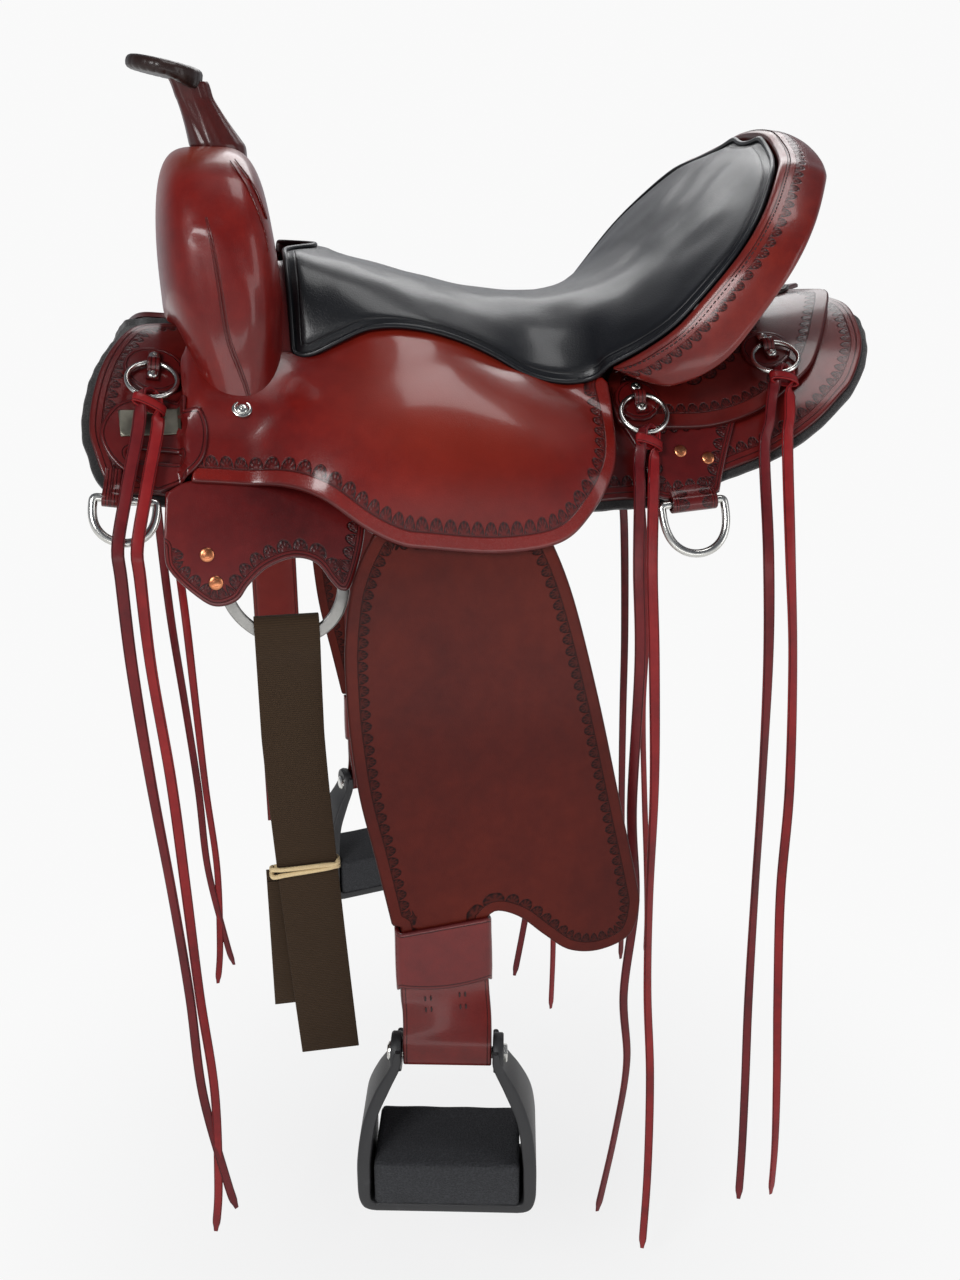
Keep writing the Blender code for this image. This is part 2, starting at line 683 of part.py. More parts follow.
def jockey_height(x, s):
    columns = sorted(JOCKEY_HEIGHT)
    x = min(max(x, columns[0]), columns[-1] - 1e-9)
    c = max(k for k, value in enumerate(columns) if value <= x)
    s = min(max(s, JOCKEY_S[0]), JOCKEY_S[-1] - 1e-9)
    r = max(k for k, value in enumerate(JOCKEY_S) if value <= s)
    u = (x - columns[c]) / (columns[c + 1] - columns[c])
    v = (s - JOCKEY_S[r]) / (JOCKEY_S[r + 1] - JOCKEY_S[r])
    near, far = JOCKEY_HEIGHT[columns[c]], JOCKEY_HEIGHT[columns[c + 1]]
    low = near[r] * (1 - u) + far[r] * u
    high = near[r + 1] * (1 - u) + far[r + 1] * u
    return (low * (1 - v) + high * v) / 1000


def build_jockeys():
    edge = smooth_line(JOCKEY_EDGE, closed=True, steps=2)
    pair(panel("seat_jockey", [edge], jockey_height,
               lambda x, s: jockey_height(x, s) + LEATHER_THICKNESS, OXBLOOD))


# Tree bars, each with a lobe that carries the stud of the stirrup leather
LOBE_FRONT = -0.112
LOBE_REAR = -0.003
LOBE_END = 0.224
LOBE_S = (0.100, 0.125, 0.150, 0.175)
LOBE_HEIGHT = (0.026, 0.034, 0.041, 0.046)


def bar_top(x, s):
    thin = BAR_TOP - (BAR_TOP - BAR_THIN_TOP) * smoothstep(x / 0.045)
    if s <= BAR_OUTER or not LOBE_FRONT - 1e-4 < x < LOBE_REAR + 1e-4:
        return thin
    plane = side_height(x, s, STRAP_IN - GAP)
    for k in range(3):
        if s < LOBE_S[k + 1]:
            t = (s - LOBE_S[k]) / (LOBE_S[k + 1] - LOBE_S[k])
            return LOBE_HEIGHT[k] * (1 - t) + LOBE_HEIGHT[k + 1] * t
    return min(plane, LOBE_HEIGHT[3])


def build_bars():
    outline = [(BAR_FRONT, BAR_INNER + 0.008), (BAR_FRONT + 0.008, BAR_INNER),
               (BAR_REAR - 0.012, BAR_INNER), (BAR_REAR, BAR_INNER + 0.015),
               (BAR_REAR - 0.006, BAR_OUTER - 0.010), (BAR_REAR - 0.020, BAR_OUTER),
               (LOBE_REAR, BAR_OUTER), (LOBE_REAR, LOBE_END), (LOBE_FRONT, LOBE_END),
               (LOBE_FRONT, BAR_OUTER), (-0.160, BAR_OUTER), (-0.170, FORK_FOOT_OUT),
               (BAR_FRONT, FORK_FOOT_OUT)]
    bar = panel("tree_bar", [outline], PLATE_IN, bar_top, WOOD)
    frame = side_frame(STUD_X, STUD_Z, STRAP_IN - GAP)
    reach = STRAP_OUT - STRAP_IN + GAP + STUD_PLAY / 2
    shift = Matrix.Translation((0, 0, reach / 2 - 0.004))
    stud = cylinder(STUD_RADIUS, reach + 0.008, frame @ shift)
    cut_or_join(bar, [stud], "UNION")
    pair(bar)


# Fork: an arch whose sections run from the gullet line to the outer line
FORK_STATIONS = [
    # half width, then inner y and z, outer y and z, front x, rear x, squareness
    (0.000, 0.055, 0.000, 0.158, -0.2600, -0.1740, 4.0),
    (0.030, 0.053, 0.045, 0.157, -0.2600, -0.1730, 4.0),
    (0.052, 0.047, 0.085, 0.151, -0.2595, -0.1710, 3.8),
    (0.066, 0.040, 0.119, 0.137, -0.2585, -0.1690, 3.6),
    (0.073, 0.035, 0.141, 0.110, -0.2570, -0.1670, 3.4),
    (0.077, 0.031, 0.151, 0.074, -0.2545, -0.1660, 3.2),
    (0.079, 0.029, 0.154, 0.032, -0.2480, -0.1670, 3.0)]
FORK_FOOT = (-0.238, -0.176, 2.8)
FORK_ARC = 10


def fork_section(station, inset, side):
    inner_y, inner_z, outer_y, outer_z, front, rear, square = station
    inner = Vector((0, side * inner_y, inner_z))
    out = Vector((0, side * outer_y, outer_z)) - inner
    length = out.length
    direction = out.normalized() if length else Vector((0, 0, 1))
    points = []
    for k in range(FORK_ARC + 1):
        angle = math.pi * k / FORK_ARC
        u, v = math.cos(angle), math.sin(angle)
        across = -math.copysign(abs(u) ** (2 / square), u)
        x = (front + rear) / 2 + ((rear - front) / 2 - inset) * across
        up = (length - inset) * max(v, 0) ** (2 / square)
        points.append(Vector((x, 0, 0)) + inner + direction * up)
    return points


def fork_foot(inset, side):
    front, rear, square = FORK_FOOT
    points = []
    for k in range(FORK_ARC + 1):
        angle = math.pi * k / FORK_ARC
        u, v = math.cos(angle), math.sin(angle)
        across = -math.copysign(abs(u) ** (2 / square), u)
        x = (front + rear) / 2 + ((rear - front) / 2 - inset) * across
        span = FORK_FOOT_OUT - FORK_FOOT_IN - inset
        s = FORK_FOOT_IN + span * max(v, 0) ** (2 / square)
        points.append(laid(x, -side * s, BAR_TOP + FORK_SEAT))
    return points


def build_fork():
    def loops(inset):
        left = [fork_foot(inset, -1)]
        left += [fork_section(st, inset, -1) for st in reversed(FORK_STATIONS[1:])]
        right = [fork_section(st, inset, 1) for st in FORK_STATIONS[1:]]
        return left + [fork_section(FORK_STATIONS[0], inset, 1)] + right + [fork_foot(inset, 1)]

    grid_solid("fork_cover", loops(0.0), loops(COVER_THICKNESS), OXBLOOD)
    grid_solid("tree_fork", loops(COVER_THICKNESS + GAP), None, WOOD, closed=True)


# Horn, standing on the fork and leaning forward
HORN_FOOT = Vector((-0.2090, 0.0, 0.1584))
HORN_TOP = Vector((-0.2280, 0.0, 0.2020))
HORN_FOOT_RADIUS = 0.0215
HORN_TOP_RADIUS = 0.0135
HORN_RINGS = 6
CAP_CENTRE = Vector((-0.2445, 0.0, 0.2125))
CAP_TILT = math.radians(12)
CAP_HALF_LENGTH = 0.0295
CAP_HALF_WIDTH = 0.0330
CAP_THICKNESS = 0.0115


def build_horn():
    tilt = Matrix.Rotation(CAP_TILT, 4, "Y")
    cap_low = CAP_CENTRE + tilt @ Vector((0, 0, -CAP_THICKNESS / 2 - GAP))
    cap_normal = tilt @ Vector((0, 0, 1))
    rings = []
    for k in range(HORN_RINGS):
        t = k / (HORN_RINGS - 1)
        centre = HORN_FOOT.lerp(HORN_TOP, t)
        radius = HORN_TOP_RADIUS + (HORN_FOOT_RADIUS - HORN_TOP_RADIUS) * (1 - t) ** 1.6
        ring = []
        for j in range(18):
            angle = 2 * math.pi * j / 18
            spot = centre + Vector((radius * math.cos(angle), radius * math.sin(angle), 0))
            if k == HORN_RINGS - 1:
                spot.z = cap_low.z - ((spot - cap_low).dot(cap_normal * Vector((1, 1, 0)))
                                      / cap_normal.z)
            ring.append(spot)
        rings.append(ring)
    grid_solid("horn_neck", rings, None, HORN_LEATHER, closed=True)
    bm = cylinder(1.0, CAP_THICKNESS, Matrix.Identity(4), segments=24)
    edges = [e for e in bm.edges if abs(e.verts[0].co.z - e.verts[1].co.z) < 1e-6]
    bmesh.ops.scale(bm, vec=(CAP_HALF_LENGTH, CAP_HALF_WIDTH, 1), verts=bm.verts)
    bmesh.ops.bevel(bm, geom=edges, offset=0.0038, segments=2, profile=0.5, affect="EDGES")
    bmesh.ops.transform(bm, matrix=Matrix.Translation(CAP_CENTRE) @ tilt, verts=bm.verts)
    make_object("horn_cap", bm, HORN_LEATHER)


# Seat: centre line and edge line, matched station by station
SEAT_STATIONS = [
    # centre x and z, edge x, y and z, squareness of the section
    (-0.1620, 0.0840, -0.1630, 0.1120, 0.0100, 6.0),
    (-0.1480, 0.0815, -0.1500, 0.1180, 0.0110, 5.0),
    (-0.1300, 0.0770, -0.1310, 0.1200, 0.0200, 4.2),
    (-0.1080, 0.0715, -0.1080, 0.1200, 0.0300, 3.5),
    (-0.0840, 0.0645, -0.0840, 0.1200, 0.0320, 3.0),
    (-0.0580, 0.0575, -0.0580, 0.1200, 0.0280, 2.7),
    (-0.0320, 0.0505, -0.0320, 0.1200, 0.0195, 2.5),
    (-0.0080, 0.0455, -0.0080, 0.1220, 0.0080, 2.4),
    (0.0180, 0.0420, 0.0180, 0.1240, -0.0070, 2.4),
    (0.0450, 0.0405, 0.0450, 0.1280, -0.0130, 2.4),
    (0.0700, 0.0430, 0.0660, 0.1330, -0.0095, 2.6)]
CANTLE_FACE = [
    # centre x and z and squareness for each point of the inner line of the roll, low to high
    (0.0950, 0.0485, 2.7), (0.1150, 0.0580, 2.8), (0.1360, 0.0720, 2.8), (0.1530, 0.0880, 2.6),
    (0.1740, 0.1090, 2.4), (0.1910, 0.1260, 2.2), (0.2080, 0.1435, 2.0), (0.2165, 0.1515, 2.0),
    (0.2230, 0.1575, 2.0), (0.2275, 0.1610, 2.0)]
ROLL_CLEAR = 0.0052
SEAT_COLUMNS = 8
HAND_NOTCH = 0.028
HAND_NOTCH_HALF_WIDTH = 0.052
PAD_CENTRE = 0.0120
PAD_EDGE = 0.0050
GROUND_SEAT = 0.0050
GROUND_CLEAR = 0.0012


def cantle_stations():
    """Stations of the cantle face, whose edge runs along the inside of the roll."""
    stations = []
    for k, (cx, cz, square) in enumerate(CANTLE_FACE):
        place = len(ROLL_INNER) - 1 - k
        inner, outer = Vector(ROLL_INNER[place]), Vector(ROLL_OUTER[place])
        along = Vector(ROLL_INNER[place - 1]) - inner
        across = (outer - inner).normalized()
        up = across.cross(along).normalized()
        if up.z < 0:
            up = -up
        edge = inner - across * ROLL_CLEAR - up * ROLL_CLEAR / 2
        stations.append((cx, cz, edge.x, edge.y, edge.z, square))
    return stations


def seat_grid():
    rows = []
    for index, (cx, cz, ex, ey, ez, square) in enumerate(SEAT_STATIONS + cantle_stations()):
        row = []
        notch = HAND_NOTCH * max(0.0, 1 - index / 3)
        for k in range(-SEAT_COLUMNS, SEAT_COLUMNS + 1):
            v = math.sin(math.pi / 2 * k / SEAT_COLUMNS)
            drop = abs(v) ** square
            reach = 1 - smoothstep(abs(v) * ey / HAND_NOTCH_HALF_WIDTH)
            row.append(Vector((cx + (ex - cx) * v * v + notch * reach, ey * v,
                               cz + (ez - cz) * drop)))
        rows.append(row)
    return rows


def pushed(rows, distance):
    """Moves a grid of points along its own normals; distance depends on the column."""
    moved = []
    for i, row in enumerate(rows):
        line = []
        for j, point in enumerate(row):
            along = rows[min(i + 1, len(rows) - 1)][j] - rows[max(i - 1, 0)][j]
            across = row[min(j + 1, len(row) - 1)] - row[max(j - 1, 0)]
            normal = along.cross(across).normalized()
            line.append(point + normal * distance(j))
        moved.append(line)
    return moved


def build_seat():
    def pad_depth(column):
        v = abs(column - SEAT_COLUMNS) / SEAT_COLUMNS
        return PAD_EDGE + (PAD_CENTRE - PAD_EDGE) * (1 - v ** 2)

    top = seat_grid()
    under = pushed(top, lambda j: -pad_depth(j))
    grid_solid("seat_pad", top, under, SEAT_LEATHER)
    ground = pushed(top, lambda j: -pad_depth(j) - GROUND_CLEAR)
    ground_under = pushed(top, lambda j: -pad_depth(j) - GROUND_CLEAR - GROUND_SEAT)
    top_rows = [row[5:-5] for row in ground[3:-2]]
    low_rows = [row[5:-5] for row in ground_under[3:-2]]
    grid_solid("ground_seat", top_rows, low_rows, WOOD)


# Cantle: inner and outer line of its roll, then the line where its back meets the jockey
ROLL_INNER = [(0.2345, 0.000, 0.1680), (0.2340, 0.030, 0.1660), (0.2300, 0.060, 0.1580),
              (0.2220, 0.092, 0.1490), (0.2100, 0.120, 0.1390), (0.1870, 0.155, 0.1110),
              (0.1650, 0.171, 0.0840), (0.1380, 0.171, 0.0510), (0.1190, 0.166, 0.0290),
              (0.0980, 0.154, 0.0110), (0.0800, 0.140, -0.0020)]
ROLL_OUTER = [(0.2640, 0.000, 0.1630), (0.2630, 0.040, 0.1600), (0.2600, 0.080, 0.1500),
              (0.2540, 0.110, 0.1400), (0.2450, 0.132, 0.1310), (0.2230, 0.168, 0.1040),
              (0.2010, 0.187, 0.0740), (0.1760, 0.189, 0.0380), (0.1510, 0.184, 0.0060),
              (0.1220, 0.170, -0.0120), (0.0960, 0.152, -0.0160)]
BACK_LINE = [(0.2400, 0.000), (0.2370, 0.024), (0.2300, 0.044), (0.2190, 0.062),
             (0.2060, 0.078), (0.1900, 0.094), (0.1720, 0.108), (0.1520, 0.117),
             (0.1340, 0.118), (0.1160, 0.114), (0.1000, 0.109)]
BACK_CLEAR = 0.0010
ROLL_THICKNESS = 0.0075
ROLL_SEAT = 0.0009
BACK_BULGE = 0.035
ROLL_UNDERCUT = 0.24
ROLL_CROWN = 0.0045


def mirrored_rows(rows):
    flip = Vector((1, -1, 1))
    return [[p * flip for p in row] for row in rows[:0:-1]] + rows


def build_cantle():
    inner = [Vector((x, -y, z)) for x, y, z in ROLL_INNER]
    outer = [Vector((x, -y, z)) for x, y, z in ROLL_OUTER]
    sections, back, back_in, board, board_in = [], [], [], [], []
    for k, (a, b) in enumerate(zip(inner, outer)):
        along = inner[min(k + 1, len(inner) - 1)] - inner[max(k - 1, 0)]
        across = b - a
        if k == 0:
            along = Vector((0, -1, 0))
        up = across.cross(along).normalized()
        if up.z < 0:
            up = -up
        section = []
        for t, lift in ((0.0, -0.003), (0.02, 0.0), (0.25, 0.75), (0.5, 1.0), (0.75, 0.75),
                        (0.98, 0.0), (1.0, -0.003)):
            height = lift if lift < 0 else lift * ROLL_CROWN
            section.append(a + across * t + up * height)
        section.append(b - up * ROLL_THICKNESS - across * 0.04)
        section.append(a - up * ROLL_THICKNESS + across * ROLL_UNDERCUT)
        sections.append(section)
        foot_x, foot_s = BACK_LINE[k]
        foot = laid(foot_x, foot_s, BACK_OUT + BACK_CLEAR)
        top = b - up * (ROLL_THICKNESS + ROLL_SEAT) - across * 0.06
        wall = top - foot
        inward = along.cross(wall).normalized()
        if inward.dot(a - b) < 0:
            inward = -inward
        rows = [foot.lerp(top, t) - inward * wall.length * BACK_BULGE * math.sin(math.pi * t)
                for t in (0.0, 0.25, 0.5, 0.75, 1.0)]
        along_wall = wall.normalized()

        def behind(depth):
            line = [p + inward * depth for p in rows]
            over = (line[-1] - top).dot(up)
            line[-1] = line[-1] - along_wall * max(over, 0) / along_wall.dot(up)
            return line

        back.append(rows)
        back_in.append(behind(COVER_THICKNESS))
        board.append(behind(COVER_THICKNESS + GAP))
        board_in.append(behind(COVER_THICKNESS + GAP + CANTLE_BOARD))
    grid_solid("cantle_roll", mirrored_rows(sections), None, OXBLOOD, closed=True)
    grid_solid("cantle_back", mirrored_rows(back[:-1]), mirrored_rows(back_in[:-1]), OXBLOOD)
    grid_solid("tree_cantle", mirrored_rows(board[:8]), mirrored_rows(board_in[:8]), WOOD)


# Fender, in x and z as seen from the side
FENDER_EDGE = [
    (-0.100, -0.100), (-0.113, -0.104), (-0.119, -0.112), (-0.128, -0.130), (-0.135, -0.152),
    (-0.140, -0.190), (-0.1405, -0.225), (-0.139, -0.260), (-0.134, -0.309), (-0.124, -0.360),
    (-0.113, -0.4185, True), (-0.1065, -0.4195, True), (-0.1065, -0.456, True),
    (-0.0375, -0.456, True), (-0.0375, -0.4195, True), (-0.028, -0.4145), (-0.010, -0.422),
    (0.010, -0.440), (0.031, -0.456), (0.057, -0.459), (0.082, -0.448), (0.090, -0.422),
    (0.087, -0.399), (0.072, -0.328), (0.054, -0.243), (0.034, -0.163), (0.017, -0.118),
    (0.008, -0.109), (-0.010, -0.104)]


def build_fender_group():
    stud = side_frame(STUD_X, STUD_Z, STRAP_IN).translation
    edge = [on_side(x, z) for x, z in smooth_line(FENDER_EDGE, closed=True, steps=2)]
    middle = side_frame(STUD_X, STUD_Z, (FENDER_IN + FENDER_OUT) / 2)
    bm = extruded([edge], FENDER_THICKNESS / 2, middle)
    fender = make_object("fender", bm, DARK_LEATHER, origin=stud)

    bolt = side_frame(STRAP_FRONT + STRAP_WIDTH / 2, BOLT_Z, BOLT_HEIGHT)
    strap = make_object("stirrup_leather", stirrup_leather_mesh(), DARK_LEATHER, origin=stud)
    hole = cylinder(STUD_RADIUS + STUD_PLAY, 0.030, side_frame(STUD_X, STUD_Z, STRAP_IN))
    cut_or_join(strap, [hole], "DIFFERENCE")
    twist_at_bolt(strap, bolt.translation)

    half_width = STRAP_WIDTH / 2 + GAP
    wall = 0.003
    low, high = STRAP_IN - GAP, FENDER_OUT + GAP
    hole = [(-half_width, low), (half_width, low), (half_width, high), (-half_width, high)]
    c = 0.002
    w, l, h = half_width + wall, low - wall, high + wall
    band = [(-w + c, l), (w - c, l), (w, l + c), (w, h - c), (w - c, h), (-w + c, h),
            (-w, h - c), (-w, l + c)]
    centre_z = (KEEPER_TOP + KEEPER_BOTTOM) / 2
    length = (KEEPER_TOP - KEEPER_BOTTOM) / math.sin(SIDE_ANGLE)
    lay = Matrix(((1, 0, 0, 0), (0, 0, 1, 0), (0, 1, 0, 0), (0, 0, 0, 1)))
    lower = Matrix.Translation((0, 0, -FENDER_OUT))
    place = side_frame(STRAP_FRONT + STRAP_WIDTH / 2, centre_z, FENDER_OUT) @ lower @ lay
    keeper = make_object("hobble_keeper", extruded([band, hole], length / 2, place),
                         DARK_LEATHER, origin=stud)

    frame = Matrix.Translation(bolt.translation) @ Matrix.Rotation(-STIRRUP_TURN, 4, "Z")
    stirrup = make_object("stirrup", stirrup_mesh(frame), PLASTIC,
                          origin=bolt.translation)
    turn = Matrix.Rotation(math.pi / 2, 4, "Y")
    rod = cylinder(BOLT_RADIUS, 2 * EAR_X, frame @ turn)
    cut_or_join_local(stirrup, rod)
    pad = tread_pad_mesh(frame)
    tread = make_object("tread_pad", pad, RUBBER, origin=bolt.translation)

    lefts = []
    rights = []
    for piece in (fender, strap, keeper, stirrup, tread):
        left, right = pair(piece)
        lefts.append(left)
        rights.append(right)
    for group in (lefts, rights):
        for child in group[1:4]:
            hang(child, group[0])
        hang(group[4], group[3])


def cut_or_join_local(obj, tool):
    """Joins a tool given in world axes to an object that has its own origin."""
    bmesh.ops.translate(tool, verts=tool.verts, vec=-obj.location)
    spot = obj.location.copy()
    obj.location = (0, 0, 0)
    cut_or_join(obj, [tool], "UNION")
    obj.location = spot


STRAP_SPLIT = -0.466


def stirrup_leather_mesh():
    """Side profile of the strap and its loop round the bolt, extruded across its width."""
    r_in = BOLT_RADIUS + BOLT_PLAY
    r_out = r_in + LEATHER_THICKNESS
    c_n = BOLT_HEIGHT

    def spot(n, z):
        return n, (z - BOLT_Z) / math.sin(SIDE_ANGLE)

    outer = [spot(STRAP_IN, STUD_Z + STRAP_ABOVE_STUD), spot(STRAP_IN, -0.496),
             (c_n - r_out, 0.014)]
    for k in range(0, 11):
        angle = math.pi + math.pi * k / 10
        outer.append((c_n + r_out * math.cos(angle), r_out * math.sin(angle)))
    outer += [(c_n + r_out, 0.014), spot(c_n + r_out * 0.60, -0.507),
              spot(FENDER_OUT, KEEPER_BOTTOM - 0.002), spot(FENDER_OUT, STRAP_SPLIT + 0.004),
              spot(FENDER_IN, STRAP_SPLIT + 0.004),
              spot(STRAP_OUT, STRAP_SPLIT + 0.006), spot(STRAP_OUT, STUD_Z + STRAP_ABOVE_STUD)]
    hole = []
    for k in range(0, 11):
        angle = math.pi + math.pi * k / 10
        hole.append((c_n + r_in * math.cos(angle), r_in * math.sin(angle)))
    hole += [(c_n + r_in, 0.010), (c_n, 0.026), (c_n - r_in * 0.8, 0.030),
             (c_n - r_in, 0.010)]
    stand = Matrix(((0, 0, 1, 0), (0, 1, 0, 0), (1, 0, 0, 0), (0, 0, 0, 1)))
    base = side_frame(STRAP_FRONT + STRAP_WIDTH / 2, BOLT_Z, BOLT_HEIGHT)
    lower = Matrix.Translation((0, 0, -BOLT_HEIGHT))
    return extruded([outer, hole], STRAP_WIDTH / 2, base @ lower @ stand)


def twist_at_bolt(strap, bolt):
    """Turns the end of the strap about the upright line through its bolt."""
    bm = bmesh.new()
    bm.from_mesh(strap.data)
    shift = Vector(strap.location)
    for z in (-0.482, -0.496, -0.508, -0.520):
        geometry = list(bm.verts) + list(bm.edges) + list(bm.faces)
        bmesh.ops.bisect_plane(bm, geom=geometry, dist=1e-6,
                               plane_co=Vector((0, 0, z)) - shift, plane_no=(0, 0, 1))
    bmesh.ops.triangulate(bm, faces=bm.faces)
    for v in bm.verts:
        spot = v.co + shift
        share = smoothstep((-0.482 - spot.z) / 0.038)
        turn = Matrix.Rotation(-STIRRUP_TURN * share, 3, "Z")
        v.co = turn @ (spot - bolt) + bolt - shift
    bm.to_mesh(strap.data)
    bm.free()


EAR_X = 0.0415


def stirrup_mesh(frame):
    w, d, t = STIRRUP_HALF_WIDTH, STIRRUP_DROP, TREAD_DROP
    outer = smooth_line([
        (EAR_X, 0.008, True), (EAR_X + 0.0045, 0.0), (0.058, -0.030), (0.068, -0.062),
        (w - 0.001, -t), (w, -t - 0.016), (w - 0.004, -d + 0.010), (w - 0.013, -d, True)])
    inner = smooth_line([
        (w - 0.014, -t, True), (0.0600, -0.076), (0.0520, -0.045), (0.0440, -0.022),
        (EAR_X - 0.0045, 0.000), (EAR_X - 0.0045, 0.008, True)])
    right = outer + [(x, z) for x, z in inner]
    bottom = [(x, z) for x, z in outer]
    outline = bottom + [(-x, z) for x, z in reversed(outer)]
    outline += [(-x, z) for x, z in reversed(inner)] + list(inner)
    upright = Matrix.Rotation(math.pi / 2, 4, "X")
    bm = extruded([outline], TREAD_DEPTH / 2, upright)
    for z in (-0.020, -0.045, -0.070, -t - 0.010):
        geometry = list(bm.verts) + list(bm.edges) + list(bm.faces)
        bmesh.ops.bisect_plane(bm, geom=geometry, dist=1e-6, plane_co=(0, 0, z),
                               plane_no=(0, 0, 1))
    bmesh.ops.triangulate(bm, faces=bm.faces)
    for v in bm.verts:
        share = EAR_DEPTH / TREAD_DEPTH
        v.co.y *= share + (1 - share) * smoothstep((-v.co.z + 0.004) / (t + 0.004))
    bmesh.ops.transform(bm, matrix=frame, verts=bm.verts)
    return bm


def tread_pad_mesh(frame):
    bm = bmesh.new()
    bmesh.ops.create_cube(bm, size=1)
    width = 2 * (STIRRUP_HALF_WIDTH - 0.0175)
    bmesh.ops.scale(bm, vec=(width, TREAD_DEPTH - 0.004, PAD_THICKNESS), verts=bm.verts)
    edges = [e for e in bm.edges if abs(e.verts[0].co.z - e.verts[1].co.z) > 0.001]
    bmesh.ops.bevel(bm, geom=edges, offset=0.006, segments=3, profile=0.5, affect="EDGES")
    shift = Matrix.Translation((0, 0, -TREAD_DROP + GAP + PAD_THICKNESS / 2))
    bmesh.ops.transform(bm, matrix=frame @ shift, verts=bm.verts)
    return bm


# Rosettes with their ring clips: place x and s, height n, rosette radius
CLIPS = {
    "front": (-0.2650, 0.1080, PLATE_IN + KEEPER_THICKNESS + GAP, 0.0225),
    "middle": (0.1010, 0.1360, BACK_OUT + GAP, 0.0180),
    "rear": (0.2150, 0.1060, BACK_OUT + GAP, 0.0200)}
CLIP_HOLE = RING_WIRE + CLIP_PLAY
CLIP_RISE = ROSETTE_THICKNESS + CLIP_HOLE + 0.0006


def clip_frame(place):
    x, s, n, radius = CLIPS[place]
    return laid_frame(x, s, n + CLIP_RISE)


def build_clip(place):
    x, s, n, radius = CLIPS[place]
    petals = [(x + radius * math.cos(a), s + radius * math.sin(a))
              for a in (2 * math.pi * k / 12 for k in range(12))]
    inner = PLATE_IN if place == "front" else n
    clip = panel("string_clip_" + place, [petals], inner, n + ROSETTE_THICKNESS, OXBLOOD)
    hole = CLIP_HOLE
    over = hole + CLIP_THICKNESS * 0.8
    base = -CLIP_RISE + ROSETTE_THICKNESS - 0.0008
    flat = base + CLIP_THICKNESS + 0.0006
    half = CLIP_HALF_LENGTH
    outer = [(-half, base), (half, base), (half, flat), (over + 0.002, flat)]
    for k in range(1, 6):
        angle = math.pi * k / 6
        outer.append((over * math.cos(angle), over * math.sin(angle)))
    outer += [(-over - 0.002, flat), (-half, flat)]
    ring = [(hole * math.cos(2 * math.pi * k / 12), hole * math.sin(2 * math.pi * k / 12))
            for k in range(12)]
    stand = Matrix(((0, 0, 1, 0), (1, 0, 0, 0), (0, 1, 0, 0), (0, 0, 0, 1)))
    frame = clip_frame(place)
    strap = extruded([outer, ring], CLIP_WIDTH / 2, frame @ stand)
    screws = []
    for y in (-half + 0.0048, half - 0.0048):
        head = frame @ Matrix.Translation((0, y, flat + 0.0004))
        screws.append(cylinder(SCREW_RADIUS, 0.0022, head, 8, SCREW_RADIUS * 0.7))
    cut_or_join(clip, [strap] + screws, "UNION")
    pair(clip)


def build_ring(place):
    """A round wire ring that hangs from its clip; its origin is on the hinge."""
    frame = clip_frame(place)
    points = []
    for k in range(RING_POINTS):
        angle = 2 * math.pi * (k + 0.5) / RING_POINTS
        points.append((RING_RADIUS * math.cos(angle),
                       RING_RADIUS * math.sin(angle) - RING_RADIUS + CLIP_PLAY * 0.4, 0))
    bm = tube(points, RING_WIRE, closed=True, resolution=1, transform=frame)
    return pair(make_object("string_ring_" + place, bm, STEEL, origin=frame.translation))


# Laces: each is one flat string folded through its ring. Route of the two tails in
# x and z below the saddle, their depth |y|, and how they lie on the leather above it.
LACES = {
    "front": {
        "top": 0.2100,
        "hang": 0.1865,
        "over": [(0.165, 0.0250), (0.190, 0.0240), (0.2125, 0.0262), (0.244, 0.0285)],
        "first": [(-0.2945, -0.130), (-0.2940, -0.200), (-0.2900, -0.300), (-0.2830, -0.400),
                  (-0.2770, -0.500), (-0.2740, -0.600), (-0.2600, -0.700), (-0.2540, -0.729)],
        "second": [(-0.2815, -0.130), (-0.2805, -0.200), (-0.2750, -0.300), (-0.2720, -0.400),
                   (-0.2690, -0.500), (-0.2640, -0.600), (-0.2680, -0.700), (-0.2740, -0.752)]},
    "middle": {
        "top": 0.1925,
        "hang": 0.1900,
        "over": [(0.185, 0.0212), (0.205, 0.0210)],
        "first": [(0.0910, -0.150), (0.0960, -0.230), (0.0955, -0.360), (0.1020, -0.450),
                  (0.0960, -0.545), (0.1020, -0.620), (0.0940, -0.700), (0.0800, -0.790)],
        "second": [(0.1020, -0.150), (0.1080, -0.230), (0.1140, -0.340), (0.1150, -0.450),
                   (0.1180, -0.545), (0.1250, -0.640), (0.1280, -0.750), (0.1270, -0.845)]},
    "rear": {
        "top": 0.2040,
        "hang": 0.2000,
        "over": [(0.155, 0.0255), (0.172, 0.0240), (0.192, 0.0200)],
        "first": [(0.1920, -0.140), (0.2000, -0.230), (0.2050, -0.350), (0.2070, -0.450),
                  (0.2100, -0.560), (0.2140, -0.650), (0.2170, -0.730), (0.2180, -0.790)],
        "second": [(0.2100, -0.140), (0.2210, -0.230), (0.2300, -0.350), (0.2310, -0.450),
                   (0.2380, -0.560), (0.2450, -0.650), (0.2500, -0.730), (0.2510, -0.790)]}}


def spline_points(points, steps=8):
    """A smooth 3D curve through the points, finely sampled."""
    result = []
    for i in range(len(points) - 1):
        p0, p1 = points[max(i - 1, 0)], points[i]
        p2, p3 = points[i + 1], points[min(i + 2, len(points) - 1)]
        for k in range(steps):
            t = k / steps
            result.append(0.5 * ((2 * p1) + (p2 - p0) * t
                                 + (2 * p0 - 5 * p1 + 4 * p2 - p3) * t * t
                                 + (3 * p1 - p0 - 3 * p2 + p3) * t ** 3))
    result.append(points[-1])
    return result


